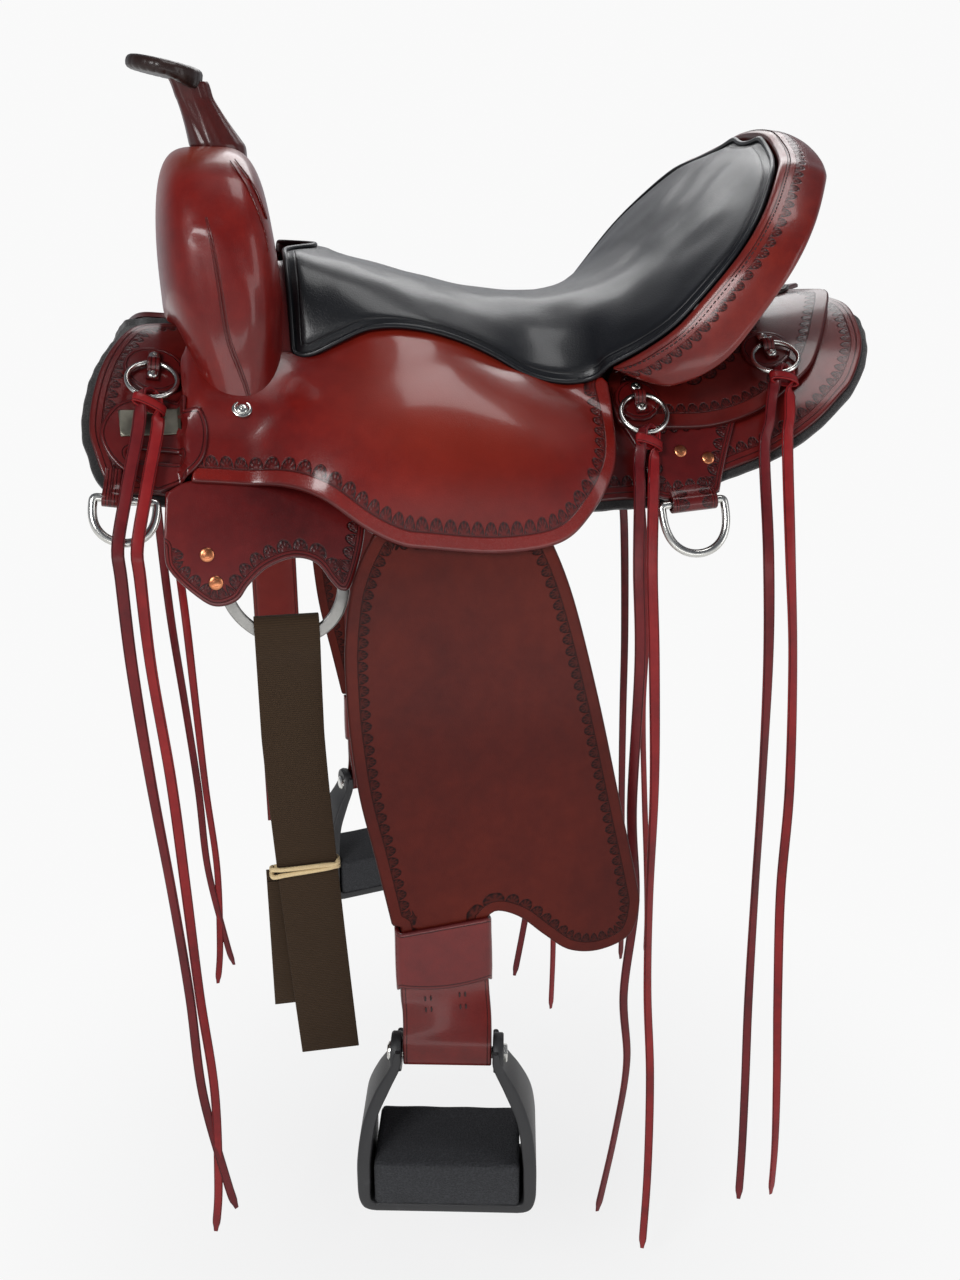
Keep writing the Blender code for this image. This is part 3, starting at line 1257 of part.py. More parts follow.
def spaced(points, step):
    """Points at an even distance along a line."""
    total = sum((b - a).length for a, b in zip(points, points[1:]))
    count = max(2, round(total / step))
    goal, result, run, k = total / count, [points[0]], 0.0, 1
    for a, b in zip(points, points[1:]):
        piece = (b - a).length
        while k < count and run + piece >= k * goal:
            result.append(a.lerp(b, (k * goal - run) / piece))
            k += 1
        run += piece
    result.append(points[-1])
    return result


def lace_route(place):
    """The line of one lace on the left side, from one tip through the ring to the other."""
    lace = LACES[place]
    x, s, n, radius = CLIPS[place]
    frame = clip_frame(place)
    bottom = -RING_RADIUS * (1 + math.cos(math.pi / RING_POINTS)) + CLIP_PLAY * 0.4
    clear = RING_WIRE + LACE_RADIUS + GAP
    fold = []
    for k in range(9):
        angle = math.pi * k / 8
        fold.append(frame @ Vector((-0.006 + 0.012 * k / 8,
                                    bottom + clear * math.sin(angle) * 1.02,
                                    clear * math.cos(angle) * 1.02)))
    ring_s = s + 2 * RING_RADIUS
    tails = []
    for key, sign, start in (("first", -1, fold[0]), ("second", 1, fold[-1])):
        rest = []
        for px, pz in lace[key]:
            drawn_in = smoothstep((-0.110 - pz) / 0.260)
            depth = lace["top"] + (lace["hang"] - lace["top"]) * drawn_in
            rest.append(Vector((px, -depth, pz)))
        over = []
        top_x = x + sign * 0.0065
        last = lace["over"][-1][0]
        for along, height in lace["over"]:
            share = (along - ring_s) / (last - ring_s)
            over.append(laid(top_x + (lace[key][0][0] - top_x) * share, along, height))
        tails.append([start] + over + rest)
    first = spaced(spline_points(tails[0]), LACE_TAIL_STEP)
    second = spaced(spline_points(tails[1]), LACE_TAIL_STEP)
    return first[:0:-1] + fold + second[1:]


def build_laces(rings):
    for place in CLIPS:
        route = lace_route(place)
        length = sum((b - a).length for a, b in zip(route, route[1:]))
        print("lace", place, "points", len(route), "length", round(length, 4))
        bm = tube(route, LACE_RADIUS)
        lace = make_object("saddle_string_" + place, bm, LACE_LEATHER)
        left, right = pair(lace)
        hang(left, rings[place][0])
        hang(right, rings[place][1])


clear_scene()
SADDLE = bpy.data.collections.new("trail_saddle")
bpy.context.scene.collection.children.link(SADDLE)
CUTTERS = bpy.data.collections.new("cutters")
bpy.context.scene.collection.children.link(CUTTERS)

build_skirts()
build_rigging()
build_billets()
build_dees()
build_back()
build_jockeys()
build_bars()
build_fork()
build_horn()
build_seat()
build_cantle()
build_fender_group()
RINGS = {}
for PLACE in CLIPS:
    build_clip(PLACE)
    RINGS[PLACE] = build_ring(PLACE)
build_laces(RINGS)
print("objects", len(SADDLE.objects))
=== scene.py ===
import math
import bpy
import numpy as np
from mathutils import Matrix, Vector
from mathutils.geometry import delaunay_2d_cdt


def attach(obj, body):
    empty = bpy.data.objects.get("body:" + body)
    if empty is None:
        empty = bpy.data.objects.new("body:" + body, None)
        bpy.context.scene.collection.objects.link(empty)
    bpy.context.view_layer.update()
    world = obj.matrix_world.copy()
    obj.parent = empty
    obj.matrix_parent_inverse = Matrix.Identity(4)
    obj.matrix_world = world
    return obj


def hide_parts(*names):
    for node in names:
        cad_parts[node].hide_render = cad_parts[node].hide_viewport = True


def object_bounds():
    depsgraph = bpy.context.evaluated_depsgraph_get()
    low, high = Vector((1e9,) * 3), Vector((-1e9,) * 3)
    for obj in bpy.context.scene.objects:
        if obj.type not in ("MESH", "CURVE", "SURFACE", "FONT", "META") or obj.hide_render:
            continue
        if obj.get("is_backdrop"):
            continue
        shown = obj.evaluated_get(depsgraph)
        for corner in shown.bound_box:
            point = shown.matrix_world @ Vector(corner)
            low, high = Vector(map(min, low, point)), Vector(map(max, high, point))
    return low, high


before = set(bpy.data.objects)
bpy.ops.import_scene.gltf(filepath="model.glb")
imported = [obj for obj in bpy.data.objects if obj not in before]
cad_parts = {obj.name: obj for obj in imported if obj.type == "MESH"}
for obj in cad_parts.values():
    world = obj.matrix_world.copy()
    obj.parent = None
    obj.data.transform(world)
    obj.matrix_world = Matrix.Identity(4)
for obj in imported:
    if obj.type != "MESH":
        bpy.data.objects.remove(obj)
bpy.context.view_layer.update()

# Camera, where the photograph was taken from
PITCH = math.atan((640 - 153) / 1280)
YAW = math.atan((480 - 225) * math.cos(PITCH) / 1280)
LOOK = Vector((math.sin(YAW) * math.cos(PITCH), math.cos(YAW) * math.cos(PITCH), -math.sin(PITCH)))
RIGHT = Vector((math.cos(YAW), -math.sin(YAW), 0))
UP = RIGHT.cross(LOOK)
camera_data = bpy.data.cameras.new("photo_camera")
camera_data.sensor_fit = "VERTICAL"
camera_data.sensor_height = 32.0
camera_data.lens = 32.0
camera_data.clip_start = 0.02
camera = bpy.data.objects.new("photo_camera", camera_data)
bpy.context.scene.collection.objects.link(camera)
turn = Matrix((RIGHT, UP, -LOOK)).transposed().to_4x4()
camera.matrix_world = Matrix.Translation((-0.203, -1.10, 0.152)) @ turn
bpy.context.scene.camera = camera


# Shader maths
class Value:
    """A shader socket that Python's operators work on."""

    def __init__(self, finish, socket):
        self.finish = finish
        self.socket = socket

    def math(self, operation, *others, clamp=False):
        settings = {"operation": operation, "use_clamp": clamp}
        return self.finish.add("Math", settings, [self, *others])

    def __add__(self, other):
        return self.math("ADD", other)

    def __sub__(self, other):
        return self.math("SUBTRACT", other)

    def __rsub__(self, other):
        return self.finish.add("Math", {"operation": "SUBTRACT"}, [other, self])

    def __mul__(self, other):
        return self.math("MULTIPLY", other)

    def __truediv__(self, other):
        return self.math("DIVIDE", other)

    def __abs__(self):
        return self.math("ABSOLUTE")

    __radd__ = __add__
    __rmul__ = __mul__

    def clamp(self):
        return self.math("ADD", 0.0, clamp=True)

    def soft(self, low, high):
        """0 at low and below, 1 at high and above, smooth between."""
        return self.finish.add("MapRange", {"interpolation_type": "SMOOTHSTEP"},
                               {"Value": self, "From Min": low, "From Max": high})

    def near(self, at, width):
        """1 where the value is at, falling to 0 within width."""
        return (1 - abs(self - at) / width).clamp()


class Finish:
    """One material, made of nodes."""

    def __init__(self, name):
        self.material = bpy.data.materials.new(name)
        self.material.use_nodes = True
        self.tree = self.material.node_tree
        self.shader = self.tree.nodes["Principled BSDF"]
        self.point = self.add("TexCoord", {}, {}, "Object")

    def link(self, value, socket):
        if isinstance(value, Value):
            self.tree.links.new(value.socket, socket)
        elif hasattr(value, "__len__") and len(value) == 3 and len(socket.default_value) == 4:
            socket.default_value = (*value, 1.0)
        else:
            socket.default_value = value

    def add(self, kind, settings, values, out=0):
        node = self.tree.nodes.new("ShaderNode" + kind)
        stops = settings.pop("stops", None)
        for key, setting in settings.items():
            setattr(node, key, setting)
        if stops:
            elements = node.color_ramp.elements
            while len(elements) < len(stops):
                elements.new(0.5)
            for element, (place, color) in zip(elements, stops):
                element.position = place
                element.color = (*color, 1.0)
        pairs = values.items() if isinstance(values, dict) else enumerate(values)
        for key, value in pairs:
            self.link(value, node.inputs[key])
        return Value(self, node.outputs[out])

    def noise(self, scale, detail=3.0, roughness=0.5, point=None, distortion=0.0):
        return self.add("TexNoise", {}, {"Vector": point or self.point, "Scale": scale,
                                         "Detail": detail, "Roughness": roughness,
                                         "Distortion": distortion}, "Fac")

    def cells(self, scale, feature="F1"):
        return self.add("TexVoronoi", {"feature": feature},
                        {"Vector": self.point, "Scale": scale}, "Distance")

    def held(self, name):
        """A number kept on the piece's own points."""
        return self.add("Attribute", {"attribute_name": name}, {}, "Fac")

    def stretch(self, scale):
        return self.add("Mapping", {}, {"Vector": self.point, "Scale": scale})

    def mix(self, share, first, second):
        node = self.tree.nodes.new("ShaderNodeMix")
        node.data_type = "RGBA"
        for key, value in (("Factor_Float", share), ("A_Color", first), ("B_Color", second)):
            socket = next(s for s in node.inputs if s.identifier == key)
            self.link(value, socket)
        return Value(self, next(s for s in node.outputs if s.identifier == "Result_Color"))

    def bump(self, height, distance, strength=1.0, below=None):
        values = {"Height": height, "Distance": distance, "Strength": strength}
        if below:
            values["Normal"] = below
        return self.add("Bump", {}, values, "Normal")

    def set(self, **values):
        names = {"color": "Base Color", "roughness": "Roughness", "metallic": "Metallic",
                 "coat": "Coat Weight", "coat_roughness": "Coat Roughness", "normal": "Normal",
                 "sheen": "Sheen Weight", "specular": "Specular IOR Level"}
        for key, value in values.items():
            self.link(value, self.shader.inputs[names[key]])
        return self.material


def srgb(*levels):
    """A colour as 0 to 255 levels on a screen, turned into light levels."""
    shares = [level / 255 for level in levels]
    return tuple(s / 12.92 if s <= 0.04045 else ((s + 0.055) / 1.055) ** 2.4 for s in shares)


def stamp_row(edge, along, base, pitch, height):
    """A row of pressed half shells along an edge: how deep, and where the tool bit."""
    u = ((along / pitch).math("FRACT") - 0.5) * (2 / 0.94)
    v = (edge - base) / height
    reach = (u * u + v * v).math("SQRT")
    inside = (1 - reach).soft(-0.06, 0.06) * v.soft(-0.08, 0.06)
    ribs = (v.math("ARCTAN2", u) * 9).math("COSINE") * 0.5 + 0.5
    hub = (1 - reach).soft(0.45, 0.75)
    ring = reach.near(0.88, 0.16) * inside
    depth = inside * (0.55 + 0.30 * ribs * (1 - hub) - 0.45 * hub) + ring * 0.45
    return depth, inside * (0.45 + 0.55 * (1 - ribs) * (1 - hub)) + ring * 0.4


DARKEN = 0.72


def leather(name, deep, middle, bright, roughness=0.34, coat=0.42, pores=1500, mottle=9,
            grooves=(), stamps=(), burnish=0.0025, band=None, relief=0.0007, warm=None,
            specular=0.22):
    """Finished leather. Grooves are distances from the edge; stamps are (base, pitch, height); a
    painted highlight is given as (place, reach, colour).
    """
    f = Finish(name)
    deep, middle, bright = (tuple(c * DARKEN for c in shade) for shade in (deep, middle, bright))
    cloud = f.noise(mottle, 4, 0.55)
    fine = f.noise(mottle * 9, 3, 0.6)
    tone = cloud * 0.72 + fine * 0.28
    color = f.add("ValToRGB", {"stops": [(0.28, deep), (0.5, middle), (0.74, bright)]}, [tone])
    # Painted highlight: the colour is pulled toward a brighter, more orange shade round one place,
    # standing in for the light that falls there.
    if warm:
        place, reach, shade = warm
        spot = f.add("VectorMath", {"operation": "DISTANCE"}, [f.point, place], "Value")
        glow = (1 - spot.soft(reach * 0.25, reach)) * (0.55 + 0.6 * cloud)
        color = f.mix(glow.clamp(), color, shade)
    grain = f.cells(pores, "SMOOTH_F1")
    creases = f.cells(pores * 0.42, "DISTANCE_TO_EDGE")
    height = grain * 0.30 + creases.soft(0.0, 0.18) * 0.30 + f.noise(pores * 0.12, 2) * 0.5
    scuff = f.noise(240, 4, 0.7)
    shine = roughness + (cloud - 0.5) * 0.16 + (scuff - 0.5) * 0.18
    edge = f.held("edge")
    along = f.held("along")
    bite = None
    dark = None
    for at, width in grooves:
        line = edge.near(at, width)
        bite = line if bite is None else bite + line
        dark = line if dark is None else dark + line * 0.8
    for base, pitch, tall in stamps:
        pressed, shade = stamp_row(edge, along, base, pitch, tall)
        bite = pressed if bite is None else bite + pressed
        dark = shade if dark is None else dark + shade
    if burnish:
        rubbed = 1 - edge.soft(0.0, burnish)
        color = f.mix(rubbed * 0.62, color, tuple(c * 0.38 for c in deep))
    if band:
        strip = (1 - edge.soft(band - 0.0008, band)) * edge.soft(0.0012, 0.0030)
        color = f.mix(strip * 0.30, color, bright)
        shine = shine - strip * 0.07
    if dark is not None:
        color = f.mix((dark * 0.85).clamp(), color, tuple(c * 0.22 for c in deep))
        shine = shine + dark.clamp() * 0.06
    normal = f.bump(height, 0.00016, 0.55)
    if bite is not None:
        normal = f.bump(1 - bite, relief, 1.0, normal)
    return f.set(color=color, roughness=shine.clamp(), coat=coat, coat_roughness=0.13,
                 normal=normal, specular=specular)


RED = (srgb(88, 14, 13), srgb(116, 22, 18), srgb(146, 34, 24))
# The seat jockey's leather carries a painted highlight: a brighter orange patch on its near side.
STAMPED = leather("oxblood_stamped", *RED, grooves=[(0.0098, 0.0010)],
                  stamps=[(0.0106, 0.0102, 0.0078)], band=0.0096,
                  warm=((-0.040, -0.15, -0.02), 0.13, srgb(122, 34, 18)))
BACK_STAMPED = leather("oxblood_back", srgb(76, 16, 15), srgb(100, 24, 20), srgb(124, 34, 27),
                       grooves=[(0.0112, 0.0006)], stamps=[(0.0118, 0.0098, 0.0075)])
SKIRT = leather("skirt_finish", srgb(78, 14, 14), srgb(104, 22, 20), srgb(128, 32, 25),
                grooves=[(0.0048, 0.0006), (0.0092, 0.0006)], stamps=[(0.0098, 0.0098, 0.0078)])
RIGGING = leather("rigging_finish", srgb(76, 13, 14), srgb(102, 20, 20), srgb(124, 28, 24),
                  grooves=[(0.0030, 0.0005), (0.0052, 0.0005)],
                  stamps=[(0.0058, 0.0096, 0.0074)])
DISC = leather("disc_finish", srgb(78, 13, 14), srgb(104, 20, 20), srgb(126, 28, 25),
               grooves=[(0.0030, 0.0006)])
# The fork cover's leather carries a painted highlight: a brighter orange patch near the top of its
# near side.
PLAIN = leather("oxblood_plain", *RED, roughness=0.33, coat=0.35,
                warm=((-0.230, -0.05, 0.13), 0.075, srgb(132, 46, 22)))
ROLL = leather("cantle_roll_finish", srgb(84, 22, 20), srgb(118, 32, 26), srgb(150, 48, 34),
               roughness=0.32, coat=0.35, grooves=[(0.0062, 0.0006)],
               stamps=[(0.0125, 0.0094, 0.0072)], burnish=0.0012)
FENDER = leather("fender_finish", srgb(70, 17, 12), srgb(88, 25, 16), srgb(104, 33, 20),
                 roughness=0.50, coat=0.06, grooves=[(0.0095, 0.0007)],
                 stamps=[(0.0100, 0.0096, 0.0072)], relief=0.0006, specular=0.12)
STRAP = leather("strap_finish", srgb(80, 15, 13), srgb(106, 22, 17), srgb(124, 31, 23),
                roughness=0.38, coat=0.25, grooves=[(0.0032, 0.0005)])
HORN = leather("horn_finish", srgb(52, 20, 18), srgb(84, 28, 25), srgb(108, 38, 32),
               roughness=0.34, coat=0.3, pores=1300, burnish=0)
CAP = leather("horn_cap_finish", srgb(24, 15, 14), srgb(40, 25, 22), srgb(60, 38, 32),
              roughness=0.40, coat=0.2, pores=1300, burnish=0)
LACE = leather("lace_finish", srgb(104, 15, 20), srgb(140, 22, 26), srgb(160, 34, 34),
               roughness=0.42, coat=0.12, mottle=16, grooves=[(0.0008, 0.0004)], burnish=0)
DARK_LACE = leather("dark_lace_finish", srgb(78, 13, 20), srgb(106, 18, 24), srgb(128, 28, 32),
                    roughness=0.42, coat=0.12, mottle=16, grooves=[(0.0008, 0.0004)], burnish=0)
TONGUE = leather("tongue_finish", srgb(40, 24, 22), srgb(66, 40, 36), srgb(84, 54, 48),
                 roughness=0.42, coat=0.15, grooves=[(0.0030, 0.0005)])


def seat_finish():
    f = Finish("seat_finish")
    cloud = f.noise(7, 4, 0.55)
    color = f.add("ValToRGB", {"stops": [(0.3, srgb(7, 8, 11)), (0.7, srgb(15, 17, 22))]},
                  [cloud])
    grain = f.cells(950, "SMOOTH_F1")
    creases = f.cells(420, "DISTANCE_TO_EDGE")
    wrinkle = f.noise(60, 4, 0.6, distortion=0.6)
    height = grain * 0.4 + creases.soft(0.0, 0.16) * 0.4 + wrinkle * 0.6
    shine = 0.40 + (cloud - 0.5) * 0.14 + (f.noise(300, 3, 0.7) - 0.5) * 0.12
    edge = f.held("edge")
    seam = edge.near(0.0075, 0.0010)
    normal = f.bump(height, 0.00022, 0.6)
    normal = f.bump(1 - seam, 0.0006, 1.0, normal)
    return f.set(color=f.mix(seam * 0.6, color, srgb(6, 6, 8)), roughness=shine.clamp(),
                 coat=0.24, coat_roughness=0.20, normal=normal, specular=0.26)


def steel_finish(name, low, high, roughness):
    f = Finish(name)
    haze = f.noise(120, 4, 0.6)
    brushed = f.noise(900, 2, 0.7, f.stretch((1.0, 0.15, 1.0)))
    color = f.mix(haze, low, high)
    shine = roughness + (haze - 0.5) * 0.10 + (brushed - 0.5) * 0.08
    normal = f.bump(brushed * 0.6 + haze, 0.00006, 0.5)
    return f.set(color=color, metallic=1.0, roughness=shine.clamp(), normal=normal)


def felt_finish():
    f = Finish("felt_finish")
    tufts = f.noise(700, 5, 0.75)
    mats = f.noise(70, 3, 0.6)
    color = f.mix(tufts * 0.7 + mats * 0.3, srgb(14, 14, 15), srgb(58, 56, 56))
    normal = f.bump(tufts + mats, 0.0012, 0.9)
    return f.set(color=color, roughness=0.95, normal=normal, sheen=0.3, specular=0.2)


def webbing_finish():
    """Woven strap: ribs across it, and a finer weave in each rib."""
    f = Finish("webbing_finish")
    along = f.held("along")
    edge = f.held("edge")
    rib = (along / 0.0017).math("FRACT").near(0.5, 0.5)
    slant = ((along + edge * 2) / 0.0017).math("FRACT").near(0.5, 0.5)
    weave = rib * 0.65 + slant * 0.35
    thread = f.noise(900, 3, 0.7)
    cloud = f.noise(14, 3, 0.5)
    color = f.mix(weave * 0.7 + thread * 0.3, srgb(25, 16, 8), srgb(70, 50, 30))
    color = f.mix((cloud * 0.5).clamp(), color, srgb(46, 33, 19))
    normal = f.bump(weave + thread * 0.4, 0.0005, 0.9)
    return f.set(color=color, roughness=0.82, normal=normal, sheen=0.04, specular=0.2)


def elastic_finish():
    f = Finish("elastic_finish")
    thread = f.noise(1200, 3, 0.6)
    color = f.mix(thread, srgb(176, 150, 104), srgb(226, 204, 160))
    return f.set(color=color, roughness=0.6 + thread * 0.2, normal=f.bump(thread, 0.0003, 0.8))


def plastic_finish():
    """Moulded black frame: fine spark texture, paler scuffs in patches."""
    f = Finish("moulded_black")
    spark = f.noise(1600, 2, 0.6)
    scuff = f.noise(45, 5, 0.7).soft(0.60, 0.78)
    color = f.mix(scuff * 0.5, srgb(27, 27, 29), srgb(60, 60, 62))
    return f.set(color=color, roughness=0.44 + spark * 0.14, specular=0.5,
                 normal=f.bump(spark, 0.00018, 0.6))


def rubber_finish():
    """Foam rubber tread: closed cells and faint diagonal sipes."""
    f = Finish("tread_rubber")
    cells = f.cells(620, "F1")
    cloud = f.noise(24, 4, 0.6)
    color = f.mix(cells * 0.8 + cloud * 0.4, srgb(22, 22, 24), srgb(52, 53, 56))
    normal = f.bump(cells + cloud * 0.4, 0.0007, 0.9)
    return f.set(color=color, roughness=0.78 + cloud * 0.15, normal=normal, specular=0.35)


def thread_finish(name, low, high):
    f = Finish(name)
    twist = f.noise(1800, 2, 0.6)
    return f.set(color=f.mix(twist, low, high), roughness=0.55 + twist * 0.2,
                 normal=f.bump(twist, 0.0002, 0.8))


def wood_finish():
    f = Finish("tree_finish")
    rings = f.noise(18, 5, 0.6, f.stretch((0.25, 2.0, 2.0)), 0.8)
    pores = f.noise(400, 3, 0.7, f.stretch((0.1, 1.0, 1.0)))
    color = f.mix(rings * 0.7 + pores * 0.3, srgb(44, 20, 15), srgb(78, 38, 26))
    return f.set(color=color, roughness=0.6 + pores * 0.2, normal=f.bump(rings + pores, 0.0003))


SEAT = seat_finish()
STEEL = steel_finish("stainless_finish", srgb(176, 176, 172), srgb(222, 221, 216), 0.24)
# A darker and rougher copy of the stainless finish for the flat rigging ring. The rougher surface
# is like brushed steel; the darker colour is painted shade that keeps the flat plate from shining
# as brightly as the dees.
SHADED_FLAT_STEEL = steel_finish("flat_steel_finish", srgb(112, 111, 108), srgb(158, 157, 154), 0.36)
PLATE = steel_finish("nickel_plate", srgb(104, 101, 90), srgb(146, 143, 130), 0.42)
COPPER = steel_finish("copper_finish", srgb(168, 96, 64), srgb(214, 146, 106), 0.30)
FELT = felt_finish()
WEBBING = webbing_finish()
ELASTIC = elastic_finish()
PLASTIC = plastic_finish()
RUBBER = rubber_finish()
DARK_THREAD = thread_finish("dark_thread", srgb(20, 10, 10), srgb(44, 20, 20))
WOOD = wood_finish()

# Shapes: the arched underside and the plane in which the straps hang, as in the solids
ARCH_RADIUS = 0.190
SIDE_ANGLE = math.radians(85)
SKIRT_IN, SKIRT_OUT = 0.0070, 0.0110
PLATE_IN, PLATE_OUT = 0.0114, 0.0144
RIGGING_IN, RIGGING_OUT = 0.0148, 0.0188
FLAP_OUT = 0.0152
BACK_IN, BACK_OUT = 0.0156, 0.0196
FENDER_IN, FENDER_OUT = 0.0240, 0.0285


def smoothstep(value):
    value = np.clip(value, 0.0, 1.0)
    return value * value * (3 - 2 * value)


def arch(x, s, n):
    """Points n above the underside, at arc length s; s > 0 is the left side."""
    x, s, n = np.broadcast_arrays(*[np.asarray(v, float) for v in (x, s, n)])
    radius = ARCH_RADIUS + 0.050 * smoothstep((x - 0.135) / 0.200)
    angle = np.minimum(np.abs(s) / radius, SIDE_ANGLE)
    past = np.maximum(np.abs(s) - radius * SIDE_ANGLE, 0.0)
    y = (radius + n) * np.sin(angle) + past * math.cos(SIDE_ANGLE)
    z = (radius + n) * np.cos(angle) - radius - past * math.sin(SIDE_ANGLE)
    return np.stack([x, np.where(s < 0, y, -y), z + 0.024 * (x / 0.300) ** 2], -1)


def strap_plane(x, z, n):
    """Points n above the plane of the hanging straps on the left side."""
    x, z, n = np.broadcast_arrays(*[np.asarray(v, float) for v in (x, z, n)])
    foot = arch(0.0, ARCH_RADIUS * SIDE_ANGLE, 0.0)
    base_y = foot[1] - math.sin(SIDE_ANGLE) * n
    base_z = foot[2] + math.cos(SIDE_ANGLE) * n
    down = (base_z - z) / math.sin(SIDE_ANGLE)
    return np.stack([x, base_y - down * math.cos(SIDE_ANGLE), z], -1)


def unit(v):
    v = np.asarray(v, float)
    return v / np.maximum(np.linalg.norm(v, axis=-1, keepdims=True), 1e-12)


def frame_at(place, a, b, n):
    """Matrix at a point of a laid surface: along, up the side, outward."""
    step = 0.004
    along = unit(place(a + step, b, n) - place(a - step, b, n))
    out = place(a, b, n + step) - place(a, b, n - step)
    out = unit(out - along * np.dot(out, along))
    up = np.cross(out, along)
    turn = Matrix((along, up, out)).transposed().to_4x4()
    return Matrix.Translation(place(a, b, n)) @ turn


def curve_line(points, closed=False, steps=8):
    """Catmull-Rom points through the given ones; a point with a third True is a corner."""
    count = len(points)
    spans = count if closed else count - 1
    result = []
    for i in range(spans):
        a, b = np.array(points[i][:2]), np.array(points[(i + 1) % count][:2])
        before = np.array(points[(i - 1) % count][:2]) if closed or i > 0 else a
        after = np.array(points[(i + 2) % count][:2]) if closed or i < spans - 1 else b
        leave = (b - a) if len(points[i]) > 2 else (b - before) / 2
        arrive = (b - a) if len(points[(i + 1) % count]) > 2 else (after - a) / 2
        for k in range(steps):
            t = k / steps
            result.append((2 * t ** 3 - 3 * t ** 2 + 1) * a + (t ** 3 - 2 * t ** 2 + t) * leave
                          + (3 * t ** 2 - 2 * t ** 3) * b + (t ** 3 - t ** 2) * arrive)
    if not closed:
        result.append(np.array(points[-1][:2], float))
    return np.array(result)


def run_of(line):
    """Length along a line at each of its points."""
    return np.concatenate([[0], np.cumsum(np.linalg.norm(np.diff(line, axis=0), axis=1))])


def resampled(line, count):
    """The same line as a number of points at an even distance."""
    run = run_of(line)
    goal = np.linspace(0, run[-1], count)
    return np.stack([np.interp(goal, run, line[:, k]) for k in range(line.shape[1])], -1)


def spaced(line, step, closed=False):
    """The same line with points about a step apart."""
    line = np.asarray(line, float)
    if closed:
        line = np.vstack([line, line[:1]])
    out = resampled(line, max(2, int(round(run_of(line)[-1] / step))) + 1)
    return out[:-1] if closed else out


def part_of(line, start, end):
    """The stretch of a closed line between the points nearest to two places."""
    a = np.linalg.norm(line - start, axis=1).argmin()
    b = np.linalg.norm(line - end, axis=1).argmin()
    return line[a:b + 1] if a <= b else np.vstack([line[a:], line[:b + 1]])


def through(points, steps=8):
    """A smooth line through points in space."""
    p = np.asarray(points, float)
    p = np.concatenate([[2 * p[0] - p[1]], p, [2 * p[-1] - p[-2]]])
    out = []
    for i in range(1, len(p) - 2):
        for k in range(steps):
            t = k / steps
            out.append(0.5 * (2 * p[i] + (p[i + 1] - p[i - 1]) * t
                              + (2 * p[i - 1] - 5 * p[i] + 4 * p[i + 1] - p[i + 2]) * t ** 2
                              + (3 * p[i] - p[i - 1] - 3 * p[i + 1] + p[i + 2]) * t ** 3))
    out.append(p[-2])
    return np.array(out)


def measure(points, loops, closed=True):
    """Distance to the nearest outline, and how far along it that is."""
    best = np.full(len(points), 9.0)
    along = np.zeros(len(points))
    for loop in loops:
        a = loop
        ab = np.roll(loop, -1, 0) - loop
        length = np.linalg.norm(ab, axis=1)
        start = np.concatenate([[0], np.cumsum(length)[:-1]])
        if not closed:
            a, ab, length, start = a[:-1], ab[:-1], length[:-1], start[:-1]
        for low in range(0, len(points), 1500):
            p = points[low:low + 1500, None, :]
            t = np.clip(((p - a) * ab).sum(-1) / np.maximum(length ** 2, 1e-18), 0, 1)
            gap = np.linalg.norm(p - (a + t[..., None] * ab), axis=-1)
            k = gap.argmin(1)
            rows = np.arange(len(k))
            near = gap[rows, k]
            spot = start[k] + t[rows, k] * length[k]
            better = near < best[low:low + 1500]
            along[low:low + 1500] = np.where(better, spot, along[low:low + 1500])
            best[low:low + 1500] = np.minimum(near, best[low:low + 1500])
    return best, along


def inside(points, loop):
    x, y = points[:, 0], points[:, 1]
    found = np.zeros(len(points), bool)
    for (x1, y1), (x2, y2) in zip(loop, np.roll(loop, -1, 0)):
        cross = (y1 > y) != (y2 > y)
        if y1 != y2:
            found ^= cross & (x < (x2 - x1) * (y - y1) / (y2 - y1) + x1)
    return found


def outward(points, faces, **kept):
    """A mesh whose faces look outward, with the numbers that are kept on its points."""
    points = np.asarray(points, float)
    faces = [tuple(f) for f in faces]
    volume = 0.0
    for f in faces:
        for i in range(1, len(f) - 1):
            volume += np.dot(points[f[0]], np.cross(points[f[i]], points[f[i + 1]]))
    if volume < 0:
        faces = [f[::-1] for f in faces]
    return {"points": points, "faces": faces, **kept}


def put(name, mesh_data, finish, body, slot, *nodes, sharp=45):
    """Makes a piece of a mesh, and says what it rides on and replaces."""
    mesh = bpy.data.meshes.new(name)
    mesh.from_pydata([tuple(p) for p in mesh_data["points"]], [],
                     [tuple(int(i) for i in f) for f in mesh_data["faces"]])
    for key in ("edge", "along"):
        if key in mesh_data:
            mesh.attributes.new(key, "FLOAT", "POINT").data.foreach_set(
                "value", np.asarray(mesh_data[key], np.float32))
    mesh.materials.append(finish)
    mesh.validate()
    mesh.polygons.foreach_set("use_smooth", [True] * len(mesh.polygons))
    mesh.set_sharp_from_angle(angle=math.radians(sharp))
    obj = bpy.data.objects.new(name, mesh)
    bpy.context.scene.collection.objects.link(obj)
    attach(obj, body)
    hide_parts(*nodes)
    return obj


def put_pair(name, data, finish, body, slot, *nodes, sharp=45):
    """The piece on the left, and its mirror image on the right."""
    made = []
    for side, way in (("left", 1.0), ("right", -1.0)):
        faces = data["faces"] if side == "left" else [f[::-1] for f in data["faces"]]
        mirrored = {**data, "points": data["points"] * [1.0, way, 1.0], "faces": faces}
        made.append(put(f"{name}_{side}", mirrored, finish, body.format(side=side), slot,
                        *[n.format(side=side) for n in nodes], sharp=sharp))
    return made


def on_saddle(name, data, finish, node, sharp=45):
    """A red leather piece of the saddle itself, as a pair if its node has two sides."""
    make = put_pair if "{side}" in node else put
    return make(name, data, finish, "saddle", "oxblood_leather", node, sharp=sharp)


